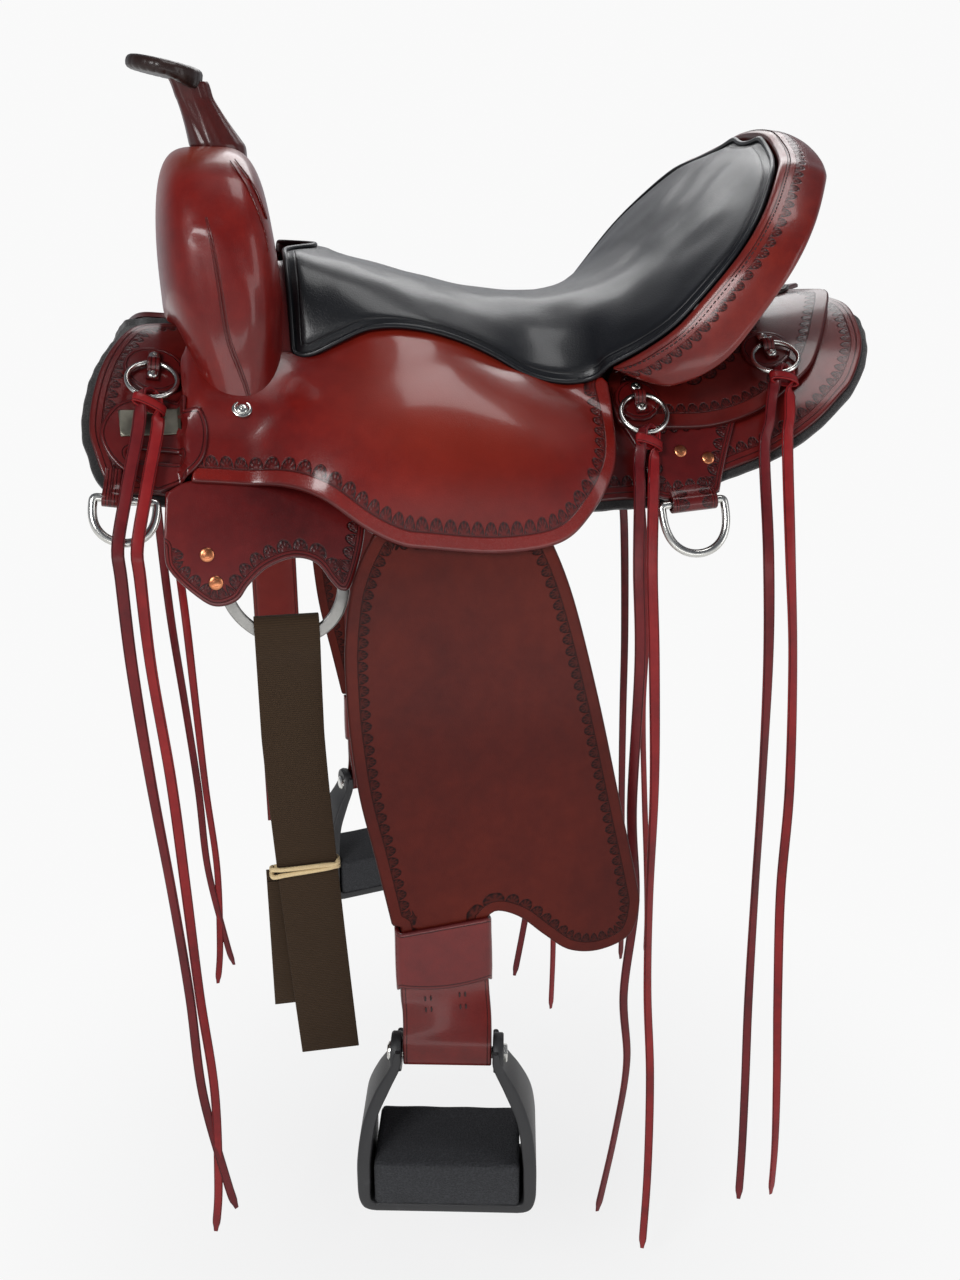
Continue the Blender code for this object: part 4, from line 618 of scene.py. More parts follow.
def on_leg(name, data, finish, node, sharp=45):
    """A pair of pieces that swing with the fenders."""
    return put_pair(name, data, finish, "fender_leg_{side}", "fender_leather", node, sharp=sharp)


def plain(data):
    """The same mesh, as if all of it were far from an edge."""
    return {**data, "edge": np.full(len(data["points"]), 0.05)}


def meshes(*parts):
    """Several meshes as one."""
    points, faces, base = [], [], 0
    for part in parts:
        points.append(part["points"])
        faces += [tuple(i + base for i in f) for f in part["faces"]]
        base += len(part["points"])
    return {"points": np.vstack(points), "faces": faces}


def grid_faces(rows, columns, closed=False):
    """Faces between rows of points; closed joins the end of each row to its start."""
    faces = []
    for i in range(rows - 1):
        for k in range(columns if closed else columns - 1):
            m = (k + 1) % columns
            faces.append((i * columns + k, i * columns + m, (i + 1) * columns + m,
                          (i + 1) * columns + k))
    return faces


def tube(grid, **kept):
    """A skin over rings of points, with both ends filled."""
    rows, columns = grid.shape[:2]
    faces = grid_faces(rows, columns, True)
    faces += [tuple(range(columns))[::-1], tuple(range((rows - 1) * columns, rows * columns))]
    return outward(grid.reshape(-1, 3), faces, **kept)


def hooped(grid, **kept):
    """A skin over rings of points, of which the last joins the first."""
    rows, columns = grid.shape[:2]
    faces = [tuple(i % (rows * columns) for i in f) for f in grid_faces(rows + 1, columns, True)]
    return outward(grid.reshape(-1, 3), faces, **kept)


def carried(matrix, points):
    """Points moved by a matrix."""
    m = np.array(matrix)
    return np.asarray(points, float) @ m[:3, :3].T + m[:3, 3]


def moved(data, matrix):
    """The same mesh, moved by a matrix."""
    return {**data, "points": carried(matrix, data["points"])}


def within(points, loops):
    """Which points lie in the first outline and in none of the others."""
    found = inside(points, loops[0])
    for hole in loops[1:]:
        found &= ~inside(points, hole)
    return found


RINGS = (0.0003, 0.0008, 0.0015, 0.0025, 0.0045, 0.0075, 0.0105, 0.0145, 0.0190)


def sheet(outline, outer, inner, place=arch, holes=(), grid=0.0055, step=0.0030,
          roll=0.0016, rings=RINGS, trim=None):
    """A sheet of leather cut to an outline and laid at a height, with rounded edges."""
    loops = [spaced(outline, step, True)] + [spaced(h, step * 0.6, True) for h in holes]
    points = [np.vstack(loops)]
    for loop in loops:
        ahead = np.roll(loop, -1, 0) - np.roll(loop, 1, 0)
        side = unit(np.stack([-ahead[:, 1], ahead[:, 0]], -1))
        for d in rings:
            for sign in (1, -1):
                line = loop + side * d * sign
                gap, _ = measure(line, loops)
                points.append(line[within(line, loops) & (gap > 0.97 * d)])
    low, high = loops[0].min(0), loops[0].max(0)
    rows = np.arange(low[1], high[1], grid * 0.866)
    field = np.array([(x + (r % 2) * grid / 2, y) for r, y in enumerate(rows)
                      for x in np.arange(low[0], high[0], grid)])
    gap, _ = measure(field, loops)
    points.append(field[within(field, loops) & (gap > rings[-1] + grid * 0.45)])
    edges, base = [], 0
    for loop in loops:
        edges += [(base + k, base + (k + 1) % len(loop)) for k in range(len(loop))]
        base += len(loop)
    found = delaunay_2d_cdt([Vector(p) for p in np.vstack(points)], edges, [], 0, 1e-6)
    flat = np.array([tuple(v) for v in found[0]])
    triangles = np.array([f for f in found[2]])
    triangles = triangles[within(flat[triangles].mean(1), loops)]
    used = np.unique(triangles)
    index = np.zeros(len(flat), int)
    index[used] = np.arange(len(used))
    flat, triangles = flat[used], index[triangles]
    gap, along = measure(flat, loops)
    a, b = flat[:, 0], flat[:, 1]
    top = outer(a, b) if callable(outer) else np.full(len(a), float(outer))
    under = inner(a, b) if callable(inner) else np.full(len(a), float(inner))
    r = np.minimum(roll, (top - under) * 0.8)
    drop = np.where(gap < r, r - np.sqrt(np.maximum(r * r - (r - gap) ** 2, 0)), 0)
    count = len(flat)
    solid = np.vstack([place(a, b, top - drop), place(a, b, under)])
    faces = [tuple(t) for t in triangles] + [tuple(t[::-1] + count) for t in triangles]
    sides = {}
    for t in triangles:
        for i, j in ((t[0], t[1]), (t[1], t[2]), (t[2], t[0])):
            if (j, i) in sides:
                del sides[(j, i)]
            else:
                sides[(i, j)] = True
    faces += [(j, i, i + count, j + count) for i, j in sides]
    if trim is not None:
        gap, along = measure(flat, [spaced(trim, 0.002)], closed=False)
    return outward(solid, faces, edge=np.tile(gap, 2), along=np.tile(along, 2))


def rounded(width, thick, roll=0.35, count=3):
    """Section of a flat strap with rounded edges, as points (across, up)."""
    r = thick * roll
    section = []
    for cx, cy, start in ((width / 2 - r, thick / 2 - r, 0), (-width / 2 + r, thick / 2 - r, 90),
                          (-width / 2 + r, -thick / 2 + r, 180),
                          (width / 2 - r, -thick / 2 + r, 270)):
        for k in range(count + 1):
            angle = math.radians(start + 90 * k / count)
            section.append((cx + r * math.cos(angle), cy + r * math.sin(angle)))
    full = []
    for k, p in enumerate(section):
        q = section[(k + 1) % len(section)]
        full.append(p)
        gap = abs(q[0] - p[0])
        extra = int(gap / 0.006)
        for j in range(1, extra + 1):
            t = j / (extra + 1)
            full.append((p[0] + (q[0] - p[0]) * t, p[1] + (q[1] - p[1]) * t))
    return np.array(full)


def circle(radius, count=10):
    turn = np.arange(count) * 2 * math.pi / count
    return np.stack([radius * np.cos(turn), radius * np.sin(turn)], -1)


def sweep(path, section, up=None, closed=False, scale=None):
    """A skin round a path. up is the direction of the section's second axis, if it is flat."""
    path = np.asarray(path, float)
    if closed:
        tangent = unit(np.roll(path, -1, 0) - np.roll(path, 1, 0))
    else:
        tangent = unit(np.gradient(path, axis=0))
    if up is None:
        guess = np.array([0, 0, 1.0]) if abs(tangent[0][2]) < 0.9 else np.array([1.0, 0, 0])
        out = [unit(guess - tangent[0] * guess.dot(tangent[0]))]
        for t in tangent[1:]:
            out.append(unit(out[-1] - t * out[-1].dot(t)))
        out = np.array(out)
    else:
        out = np.broadcast_to(np.asarray(up, float), path.shape)
        out = unit(out - tangent * (out * tangent).sum(-1, keepdims=True))
    across = np.cross(tangent, out)
    size = np.ones(len(path)) if scale is None else np.asarray(scale, float)
    size = size[:, None, None]
    points = (path[:, None, :] + across[:, None, :] * section[None, :, 0, None] * size
              + out[:, None, :] * section[None, :, 1, None] * size)
    side = np.abs(section[:, 0])
    skin = hooped if closed else tube
    return skin(points, edge=np.tile(side.max() - side, len(path)),
                along=np.repeat(run_of(path), len(section)))


def turned(profile, matrix=Matrix.Identity(4), segments=28):
    """A turned piece: profile is (radius, height) from the bottom centre to the top centre."""
    turn = np.arange(segments) * 2 * math.pi / segments
    rows = [np.stack([max(radius, 1e-5) * np.cos(turn), max(radius, 1e-5) * np.sin(turn),
                      np.full(segments, height)], -1) for radius, height in profile]
    return tube(carried(matrix, np.array(rows)))


def shell(top, under):
    """A closed solid between two grids of points of the same size."""
    rows, columns = top.shape[:2]
    count = rows * columns
    faces = grid_faces(rows, columns)
    faces += [tuple(i + count for i in f[::-1]) for f in faces]
    rim = ([(0, k) for k in range(columns)] + [(i, columns - 1) for i in range(1, rows)]
           + [(rows - 1, k) for k in range(columns - 2, -1, -1)]
           + [(i, 0) for i in range(rows - 2, 0, -1)])
    ids = [i * columns + k for i, k in rim]
    for a, b in zip(ids, ids[1:] + ids[:1]):
        faces.append((b, a, a + count, b + count))
    return outward(np.vstack([top.reshape(-1, 3), under.reshape(-1, 3)]), faces)


def stitches(spots, ahead, out, length=0.0026, radius=0.00042):
    """Short threads lying on a surface, one at each spot."""
    parts = []
    ring = circle(1.0, 6)
    for p, t, n in zip(spots, ahead, out):
        t = unit(t)
        n = unit(n - t * np.dot(n, t))
        side = np.cross(t, n)
        points = []
        for share, size in ((-0.5, 0.3), (-0.32, 0.9), (0.0, 1.0), (0.32, 0.9), (0.5, 0.3)):
            lift = radius * (0.35 - 1.6 * max(abs(share) - 0.3, 0))
            points.append(p + t * share * length + n * lift
                          + (side * ring[:, :1] + n * ring[:, 1:]) * radius * size)
        parts.append(tube(np.array(points)))
    return meshes(*parts)


def offset_line(line, by, share=None):
    """A closed line moved outward."""
    ahead = np.roll(line, -1, 0) - np.roll(line, 1, 0)
    side = unit(np.stack([-ahead[:, 1], ahead[:, 0]], -1))
    area = np.sum(line[:, 0] * np.roll(line[:, 1], -1) - line[:, 1] * np.roll(line[:, 0], -1))
    if area > 0:
        side = -side
    amount = by if share is None else by * share[:, None]
    return line + side * amount


def relaxed(line, passes):
    """A closed line with its corners evened out."""
    for _ in range(passes):
        line = (np.roll(line, 1, 0) + line * 2 + np.roll(line, -1, 0)) / 4
    return line


def lumps(a, b, size):
    """Soft unevenness between -1 and 1."""
    return (np.sin(a / size * 1.7 + 1.3 * np.sin(b / size * 0.9))
            + np.sin(b / size * 2.1 + 0.8 * np.sin(a / size * 1.2 + 2.0))) / 2


def refined(grid, rows, columns):
    """A finer grid of points through a coarse one."""
    grid = np.asarray(grid, float)
    tall = through(grid, rows)
    return np.swapaxes(through(np.swapaxes(tall, 0, 1), columns), 0, 1)


def grid_normals(grid, axis=2, column=None):
    """Directions away from a grid of points, turned so that its middle looks along an axis."""
    normal = unit(np.cross(np.gradient(grid, axis=0), np.gradient(grid, axis=1)))
    rows, columns = grid.shape[:2]
    middle = normal[rows // 2, columns // 2 if column is None else column, axis]
    return -normal if middle < 0 else normal


def rim_line(grid):
    """The points round the border of a grid."""
    return np.vstack([grid[0], grid[1:, -1], grid[-1, -2::-1], grid[-2:0:-1, 0]])


def rivet(matrix, radius=0.0046, height=0.0018):
    """A flat washer with a burr in its middle."""
    profile = [(radius, -0.0006), (radius, 0.0005), (radius * 0.92, 0.0010),
               (radius * 0.62, 0.0012), (radius * 0.55, 0.0013), (radius * 0.50, height),
               (radius * 0.30, height * 1.15), (0.0, height * 1.2)]
    return turned(profile, matrix, 22)


def screw(matrix, radius=0.0046, height=0.0022):
    """A round head with a cross pressed in it."""
    profile = [(radius, -0.0008), (radius, 0.0002), (radius * 0.94, height * 0.45),
               (radius * 0.78, height * 0.75), (radius * 0.55, height * 0.93),
               (radius * 0.34, height), (radius * 0.30, height * 0.98),
               (radius * 0.20, height * 0.45), (0.0, height * 0.40)]
    return turned(profile, matrix, 24)


def rivets(name, spots, n, radius, node):
    heads = [rivet(frame_at(arch, x, s, n), radius, 0.0019) for x, s in spots]
    on_saddle(name, meshes(*heads), COPPER, node, 50)


# Skirts and their felt
SKIRT_EDGE = [
    (-0.236, 0.020, True), (-0.242, 0.026), (-0.266, 0.034), (-0.283, 0.049), (-0.299, 0.090),
    (-0.308, 0.127), (-0.312, 0.161), (-0.308, 0.182), (-0.301, 0.200), (-0.286, 0.207),
    (-0.264, 0.206), (-0.230, 0.212), (-0.150, 0.215), (-0.060, 0.214), (0.020, 0.210),
    (0.070, 0.208), (0.110, 0.209), (0.136, 0.205), (0.161, 0.197), (0.197, 0.191),
    (0.217, 0.185), (0.242, 0.174), (0.262, 0.160), (0.278, 0.146), (0.296, 0.117),
    (0.305, 0.087), (0.311, 0.049), (0.306, 0.020, True)]
skirt_line = curve_line(SKIRT_EDGE, True)
put_pair("skirt_sheet", sheet(skirt_line, SKIRT_OUT, SKIRT_IN), SKIRT, "saddle",
         "skirt_leather", "skirt_{side}")
felt_line = spaced(skirt_line, 0.004, True)
felt_line = offset_line(felt_line, 0.006, smoothstep((felt_line[:, 1] - 0.05) / 0.02))
felt_line = felt_line + 0.0006 * np.stack([lumps(felt_line[:, 0], felt_line[:, 1], 0.006),
                                           lumps(felt_line[:, 1], felt_line[:, 0], 0.007)], -1)
put_pair("felt_sheet",
         sheet(felt_line, lambda a, b: 0.0064 + 0.0002 * lumps(a, b, 0.01), 0.0, roll=0.0022),
         FELT, "saddle", "fleece", "skirt_lining_{side}")

# Rigging
RIG_X, RIG_S, RIG_OUTER, RIG_BAND = -0.181, 0.259, 0.048, 0.0090
ring_turn = np.radians(np.linspace(-40, 220, 90))
ring_outline = np.vstack([[(RIG_X - 0.028, 0.198), (RIG_X + 0.028, 0.198)],
                          np.stack([RIG_X + RIG_OUTER * np.cos(ring_turn),
                                    RIG_S + RIG_OUTER * np.sin(ring_turn)], -1)])
hole_turn = np.radians(np.linspace(0, 360, 91))[:-1]
ring_hole = np.stack([RIG_X + (RIG_OUTER - RIG_BAND) * np.cos(hole_turn),
                      RIG_S + (RIG_OUTER - RIG_BAND) * np.sin(hole_turn)], -1)
# The rigging ring takes the darker copy of the stainless finish: painted shade.
put_pair("rigging_ring", sheet(ring_outline, PLATE_OUT, PLATE_IN, holes=[ring_hole], step=0.0015,
                               roll=0.0009, rings=(0.0003, 0.0007, 0.0014, 0.0030)),
         SHADED_FLAT_STEEL, "saddle", "stainless_steel", "rigging_plate_{side}")
RIGGING_EDGE = [
    (-0.2605, 0.206, True), (-0.2640, 0.2450), (-0.2600, 0.2590), (-0.241, 0.275),
    (-0.229, 0.279),
    (-0.215, 0.274), (-0.206, 0.263), (-0.192, 0.251), (-0.173, 0.244), (-0.157, 0.247),
    (-0.147, 0.259), (-0.140, 0.265), (-0.132, 0.261), (-0.121, 0.229), (-0.119, 0.200),
    (-0.126, 0.180, True), (-0.225, 0.180, True), (-0.228, 0.190), (-0.248, 0.198)]
rigging_line = curve_line(RIGGING_EDGE, True)
rigging_trim = part_of(rigging_line, (-0.2640, 0.2400), (-0.119, 0.205))
put_pair("rigging_sheet",
         sheet(rigging_line, RIGGING_OUT, RIGGING_IN, step=0.0022, trim=rigging_trim), RIGGING,
         "saddle", "oxblood_leather", "rigging_leather_{side}")
rivets("rigging_rivets", ((-0.2344, 0.2447), (-0.2295, 0.2628)), RIGGING_OUT, 0.0052,
       "rigging_leather_{side}")

KEEPER_EDGE = [
    (-0.266, 0.132), (-0.291, 0.141), (-0.304, 0.163), (-0.299, 0.182), (-0.284, 0.196),
    (-0.266, 0.2055, True), (-0.246, 0.196), (-0.232, 0.182), (-0.228, 0.163),
    (-0.232, 0.1505, True), (-0.2430, 0.1505, True), (-0.2440, 0.138)]
keeper_line = curve_line(KEEPER_EDGE, True)
keeper_slot = curve_line([(-0.284, 0.1765), (-0.267, 0.1760), (-0.250, 0.1765),
                          (-0.250, 0.1825), (-0.267, 0.1830), (-0.284, 0.1825)], True)

# Dees
DEE_WIRE = 0.0032


def dee(x, s, n, width, depth, splay):
    half = width / 2
    bar = [(a, 0.0) for a in np.linspace(-half, half, 30)[:-1]]
    bow = [(half * math.cos(t) * (1 + splay * math.sin(t)), -depth * math.sin(t) ** 0.75)
           for t in np.linspace(0, math.pi, 60)[:-1]]
    line = relaxed(spaced(np.array(bar + bow), 0.0012, True), 5)
    line = np.column_stack([line, np.zeros(len(line))])
    return moved(sweep(line, circle(DEE_WIRE, 14), (0, 0, 1), closed=True),
                 frame_at(arch, x, s, n))


DEE_LIFT = 0.0004 + DEE_WIRE
put_pair("front_dee_wire", dee(-0.2885, 0.2125, SKIRT_OUT + DEE_LIFT, 0.044, 0.031, 0.10), STEEL,
         "dee_body_front_{side}", "stainless_steel", "front_dee_{side}")
put_pair("rear_dee_wire", dee(0.134, 0.2165, PLATE_IN + DEE_WIRE, 0.050, 0.040, 0.10), STEEL,
         "dee_body_rear_{side}", "stainless_steel", "rear_dee_{side}")


def loop_strap(before, radius, arc, after, width, thick):
    """A strap that comes in, runs round a wire and goes back."""
    path = before + [(radius * math.cos(t), radius * math.sin(t))
                     for t in np.radians(np.linspace(*arc))] + after
    line = np.array([(0.0, y, z) for y, z in path])
    return sweep(line, rounded(width, thick),
                 np.cross(unit(np.gradient(line, axis=0)), [1.0, 0, 0]))


chape = loop_strap([(0.022, -0.0024), (0.014, -0.0022), (0.008, -0.0006)], 0.0051, (35, 318, 26),
                   [(0.008, -0.0036), (0.014, -0.0038), (0.022, -0.0038)], 0.012, 0.002)
put_pair("dee_loop", moved(chape, frame_at(arch, -0.2985, 0.2125, SKIRT_OUT + DEE_LIFT)),
         RIGGING, "saddle", "skirt_leather", "skirt_{side}")

# Rear flap, rear jockey and its tongue
REAR_FLAP = [
    (0.086, 0.150, True), (0.098, 0.180), (0.103, 0.206), (0.113, 0.2125, True),
    (0.156, 0.2125, True), (0.160, 0.200), (0.168, 0.180), (0.182, 0.150, True)]
flap_line = curve_line(REAR_FLAP, True)
put_pair("rear_flap_sheet", sheet(flap_line, FLAP_OUT, PLATE_IN, step=0.0022), RIGGING,
         "saddle", "oxblood_leather", "rear_rigging_leather_{side}")
BACK_HALF = [
    (0.271, 0.0, True), (0.277, 0.004), (0.301, 0.026, True), (0.297, 0.042), (0.276, 0.082),
    (0.251, 0.124), (0.229, 0.142), (0.196, 0.158), (0.160, 0.163), (0.120, 0.160),
    (0.090, 0.156), (0.081, 0.146), (0.081, 0.116), (0.090, 0.100, True),
    (0.120, 0.102), (0.150, 0.108), (0.170, 0.099), (0.188, 0.083), (0.204, 0.064),
    (0.216, 0.042), (0.223, 0.020), (0.224, 0.0, True)]
half = curve_line(BACK_HALF)
back_line = np.vstack([half, half[-2:0:-1] * [1, -1]])
put("rear_jockey_sheet", sheet(back_line, BACK_OUT, BACK_IN), BACK_STAMPED, "saddle",
    "oxblood_leather", "back_jockey")
rivets("flap_rivets", ((0.129, 0.178), (0.15, 0.186)), FLAP_OUT, 0.005,
       "rear_rigging_leather_{side}")
wrap = loop_strap([(0.020, -0.0020), (0.010, -0.0004)], 0.0058, (50, 310, 22),
                  [(0.010, -0.0034), (0.020, -0.0034)], 0.036, 0.0022)
on_saddle("dee_wrap", moved(wrap, frame_at(arch, 0.1345, 0.2165, PLATE_IN + DEE_WIRE)), RIGGING,
          "rear_rigging_leather_{side}")
tongue_half = [(0.2475, 0.0, True), (0.2475, 0.012, True), (0.256, 0.017), (0.270, 0.014),
               (0.280, 0.0)]
half = curve_line(tongue_half)
tongue_line = np.vstack([half, half[-2:0:-1] * [1, -1]])
put("tongue_sheet", sheet(tongue_line, BACK_OUT + 0.0033, BACK_OUT + 0.0004, step=0.0014,
                          grid=0.003, rings=(0.0003, 0.0008, 0.0015, 0.0030)),
    TONGUE, "saddle", "oxblood_leather", "back_tongue")

# Seat jockeys
JOCKEY_EDGE = [
    (-0.2425, 0.158, True), (-0.2385, 0.178), (-0.242, 0.198, True), (-0.212, 0.1975),
    (-0.182, 0.199), (-0.152, 0.209), (-0.122, 0.226), (-0.097, 0.2355), (-0.075, 0.238),
    (-0.023, 0.2415), (0.022, 0.237), (0.047, 0.220), (0.065, 0.198), (0.073, 0.178),
    (0.077, 0.150), (0.077, 0.127, True), (0.045, 0.121), (0.010, 0.113), (-0.020, 0.104),
    (-0.060, 0.098), (-0.110, 0.101), (-0.152, 0.110, True), (-0.158, 0.150, True)]
JOCKEY_TABLE = np.array([
    (19.4, 19.4, 19.4, 19.3, 19.3, 19.3, 19.3), (22.0, 21.0, 20.0, 19.5, 19.5, 19.5, 19.5),
    (30.0, 35.0, 41.0, 45.0, 46.0, 39.5, 34.0), (40.0, 47.0, 52.0, 53.0, 51.0, 41.0, 35.0),
    (45.0, 49.0, 52.0, 53.0, 51.0, 41.0, 35.0), (27.0, 36.0, 45.0, 50.0, 50.0, 41.0, 35.0),
    (15.0, 18.0, 30.0, 40.0, 44.5, 39.0, 34.0), (16.0, 16.0, 18.0, 20.0, 22.0, 24.0, 24.0)])


def spline_weights(value):
    """The four neighbours of a place on an even scale, and their shares."""
    base = np.floor(value).astype(int)
    t = value - base
    shares = [(-t ** 3 + 2 * t * t - t) / 2, (3 * t ** 3 - 5 * t * t + 2) / 2,
              (-3 * t ** 3 + 4 * t * t + t) / 2, (t ** 3 - t * t) / 2]
    return base, shares


def jockey_height(x, s):
    rows, row_shares = spline_weights(np.clip((np.asarray(x) + 0.25) / 0.05, 0, 6.999))
    columns, column_shares = spline_weights(np.clip((np.asarray(s) - 0.1) / 0.025, 0, 5.999))
    total = 0.0
    for i, a in enumerate(row_shares):
        for j, b in enumerate(column_shares):
            total = total + a * b * JOCKEY_TABLE[np.clip(rows + i - 1, 0, 7),
                                                 np.clip(columns + j - 1, 0, 6)]
    return total / 1000


# The visible leather also runs up under the seat and round the foot of the fork
SEAT_RIM = [(-0.163, 0.1120, 0.0100), (-0.150, 0.1180, 0.0110), (-0.131, 0.1200, 0.0200),
            (-0.108, 0.1200, 0.0300), (-0.084, 0.1200, 0.0320), (-0.058, 0.1200, 0.0280),
            (-0.032, 0.1200, 0.0195), (-0.008, 0.1220, 0.0080), (0.018, 0.1240, -0.0070),
            (0.045, 0.1280, -0.0130), (0.066, 0.1330, -0.0095), (0.080, 0.140, -0.0020)]
rim_x, rim_y, rim_z = np.array(SEAT_RIM).T
rim_up = rim_z - 0.024 * (rim_x / 0.300) ** 2 + ARCH_RADIUS
rim_s = ARCH_RADIUS * np.arctan2(rim_y, rim_up)
rim_n = np.hypot(rim_y, rim_up) - ARCH_RADIUS


def cover_height(x, s):
    """Underside of the seat jockey, raised to the seat's rim and over the fork's foot."""
    base = jockey_height(x, s)
    at_s = np.interp(x, rim_x, rim_s)
    under_seat = np.interp(x, rim_x, rim_n) - 0.0095
    share = 1 - smoothstep((s - at_s + 0.004) / 0.045)
    share = share * smoothstep((x + 0.172) / 0.015)
    base = base + np.maximum(under_seat - base, 0) * share
    foot = 0.0195 + 0.0110 * (1 - smoothstep((s - 0.146) / 0.022))
    foot = foot * (1 - smoothstep((x + 0.165) / 0.02))
    front = smoothstep((-0.2400 - x) / 0.004) * (1 - smoothstep((s - 0.150) / 0.010))
    return np.maximum(base, foot) * (1 - front) + 0.0175 * front


def soft_cover(x, s):
    """The same, evened out so that the leather shows no kinks."""
    total = cover_height(x, s) * 2
    for angle in np.linspace(0, 2 * math.pi, 9)[:-1]:
        for reach in (0.004, 0.009):
            total = total + cover_height(x + reach * math.cos(angle), s + reach * math.sin(angle))
    return total / 18


jockey_front = [(-0.2455, 0.104), (-0.2455, 0.125), (-0.2445, 0.142), (-0.2425, 0.158, True)]
lower = JOCKEY_EDGE[1:16]
upper = [(x, s - 0.009) for x, s in sorted(zip(rim_x, rim_s), reverse=True)[1:-1]]
upper += [(-0.172, 0.098), (-0.205, 0.094), (-0.240, 0.093, True)]
jockey_line = curve_line(lower + upper + jockey_front, True)
jockey_trim = part_of(jockey_line, (-0.242, 0.198), (0.077, 0.127))
put_pair("seat_jockey_sheet",
         sheet(jockey_line, lambda a, b: soft_cover(a, b) + 0.004, soft_cover,
               grid=0.0045, step=0.0025, trim=jockey_trim),
         STAMPED, "saddle", "oxblood_leather", "seat_jockey_{side}")
screw_place = frame_at(arch, -0.203, 0.1490, float(soft_cover(-0.203, 0.1490)) + 0.0038)
cup = turned([(0.0072, -0.0006), (0.0072, 0.0004), (0.0062, 0.0011), (0.0050, 0.0009),
              (0.0046, 0.0), (0.0, 0.0)], screw_place, 30)
put_pair("front_screw", meshes(cup, screw(screw_place, 0.0044, 0.0016)), STEEL, "saddle",
         "oxblood_leather", "seat_jockey_{side}", sharp=50)

# Fork cover, wrapped over the wood
FORK_STATIONS = [
    (0.000, 0.055, 0.000, 0.158, -0.2600, -0.1740, 4.0),
    (0.030, 0.053, 0.045, 0.157, -0.2600, -0.1730, 4.0),
    (0.052, 0.047, 0.085, 0.151, -0.2595, -0.1710, 3.8),
    (0.066, 0.040, 0.119, 0.137, -0.2585, -0.1690, 3.6),
    (0.073, 0.035, 0.141, 0.110, -0.2570, -0.1670, 3.4),
    (0.077, 0.031, 0.151, 0.074, -0.2545, -0.1660, 3.2),
    (0.079, 0.029, 0.154, 0.032, -0.2480, -0.1670, 3.0)]


def fork_arc(inset, square, front, rear, count=400):
    angle = np.linspace(0, math.pi, count + 1)
    u, v = np.cos(angle), np.maximum(np.sin(angle), 0)
    x = (front + rear) / 2 + ((rear - front) / 2 - inset) * -np.sign(u) * np.abs(u) ** (2 / square)
    return x, v ** (2 / square)


def fork_section(station, inset, side):
    inner_y, inner_z, outer_y, outer_z, front, rear, square = station
    a = np.array([side * inner_y, inner_z])
    b = np.array([side * outer_y, outer_z])
    length = np.linalg.norm(b - a)
    way = (b - a) / length
    x, up = fork_arc(inset, square, front, rear)
    yz = a + way * ((length - inset) * up)[:, None]
    return resampled(np.column_stack([x, yz]), 190)


def fork_foot(inset, side):
    x, up = fork_arc(inset, 2.3, -0.2430, -0.1670)
    s = 0.070 + (0.1425 - 0.070 - inset) * up
    return resampled(arch(x, -side * s, 0.0325), 190)


def fork_rows(inset):
    left = [fork_foot(inset, -1)] + [fork_section(st, inset, -1) for st in FORK_STATIONS[:0:-1]]
    right = [fork_section(st, inset, 1) for st in FORK_STATIONS[1:]] + [fork_foot(inset, 1)]
    return through(np.array(left + [fork_section(FORK_STATIONS[0], inset, 1)] + right), 10)


outer = fork_rows(0.0)
inner = fork_rows(0.0028)
rows, columns = outer.shape[:2]
out = grid_normals(outer)
SIDE_SEAM = [(-0.2190, 0.1100), (-0.2172, 0.1013), (-0.2151, 0.0877), (-0.2130, 0.0679),
             (-0.2094, 0.0301), (-0.2026, 0.0054), (-0.1985, -0.0092), (-0.195, -0.030)]
PETAL = [(-0.2330, 0.1020), (-0.2250, 0.0925), (-0.2216, 0.0798), (-0.2196, 0.0600),
         (-0.2160, 0.0300), (-0.2100, 0.0040, True), (-0.1940, 0.0080, True),
         (-0.1850, 0.0333), (-0.1843, 0.0572), (-0.1918, 0.0745), (-0.1975, 0.0950),
         (-0.2080, 0.1100), (-0.2210, 0.1110)]
GATHERS = [[(-0.1960, 0.1480), (-0.1840, 0.1300), (-0.1750, 0.1040), (-0.1720, 0.0900)],
           [(-0.1995, 0.1470), (-0.1880, 0.1280), (-0.1790, 0.1030), (-0.1765, 0.0860)]]
side_view = outer[..., [0, 2]].reshape(-1, 2)
faces_side = smoothstep((np.abs(out[..., 1]) - 0.25) / 0.35)
petal_line = curve_line(PETAL, True)
gap, _ = measure(side_view, [spaced(petal_line, 0.002, True)])
signed = np.where(inside(side_view, petal_line), gap, -gap).reshape(rows, columns)
bulge = 0.0024 * smoothstep((signed + 0.0020) / 0.014)
bulge *= smoothstep((outer[..., 2] + 0.010) / 0.05)
swell = 0.0004 * lumps(outer[..., 0] + outer[..., 2], outer[..., 1], 0.030)
lift = faces_side * bulge + swell
skin = outer + out * (lift - 0.0012)[..., None]
on_saddle("fork_leather", plain(shell(skin, inner)), PLAIN, "fork_cover", 60)


# Seams of the fork cover, pulled up into thin welts
def on_fork(x, z, side):
    """The point of the fork cover at (x, z) on one side, and its direction outward."""
    near = np.sign(outer[..., 1]) == side
    gap = np.where(near & (np.abs(outer[..., 1]) > 0.012),
                   np.hypot(outer[..., 0] - x, outer[..., 2] - z), 9.0)
    pick = np.argsort(gap.ravel())[:6]
    weight = 1 / (gap.ravel()[pick] + 0.0004)
    weight = (weight / weight.sum())[:, None]
    spot = (skin.reshape(-1, 3)[pick] * weight).sum(0)
    way = unit((out.reshape(-1, 3)[pick] * weight).sum(0))
    return np.array([x, spot[1], z]), way


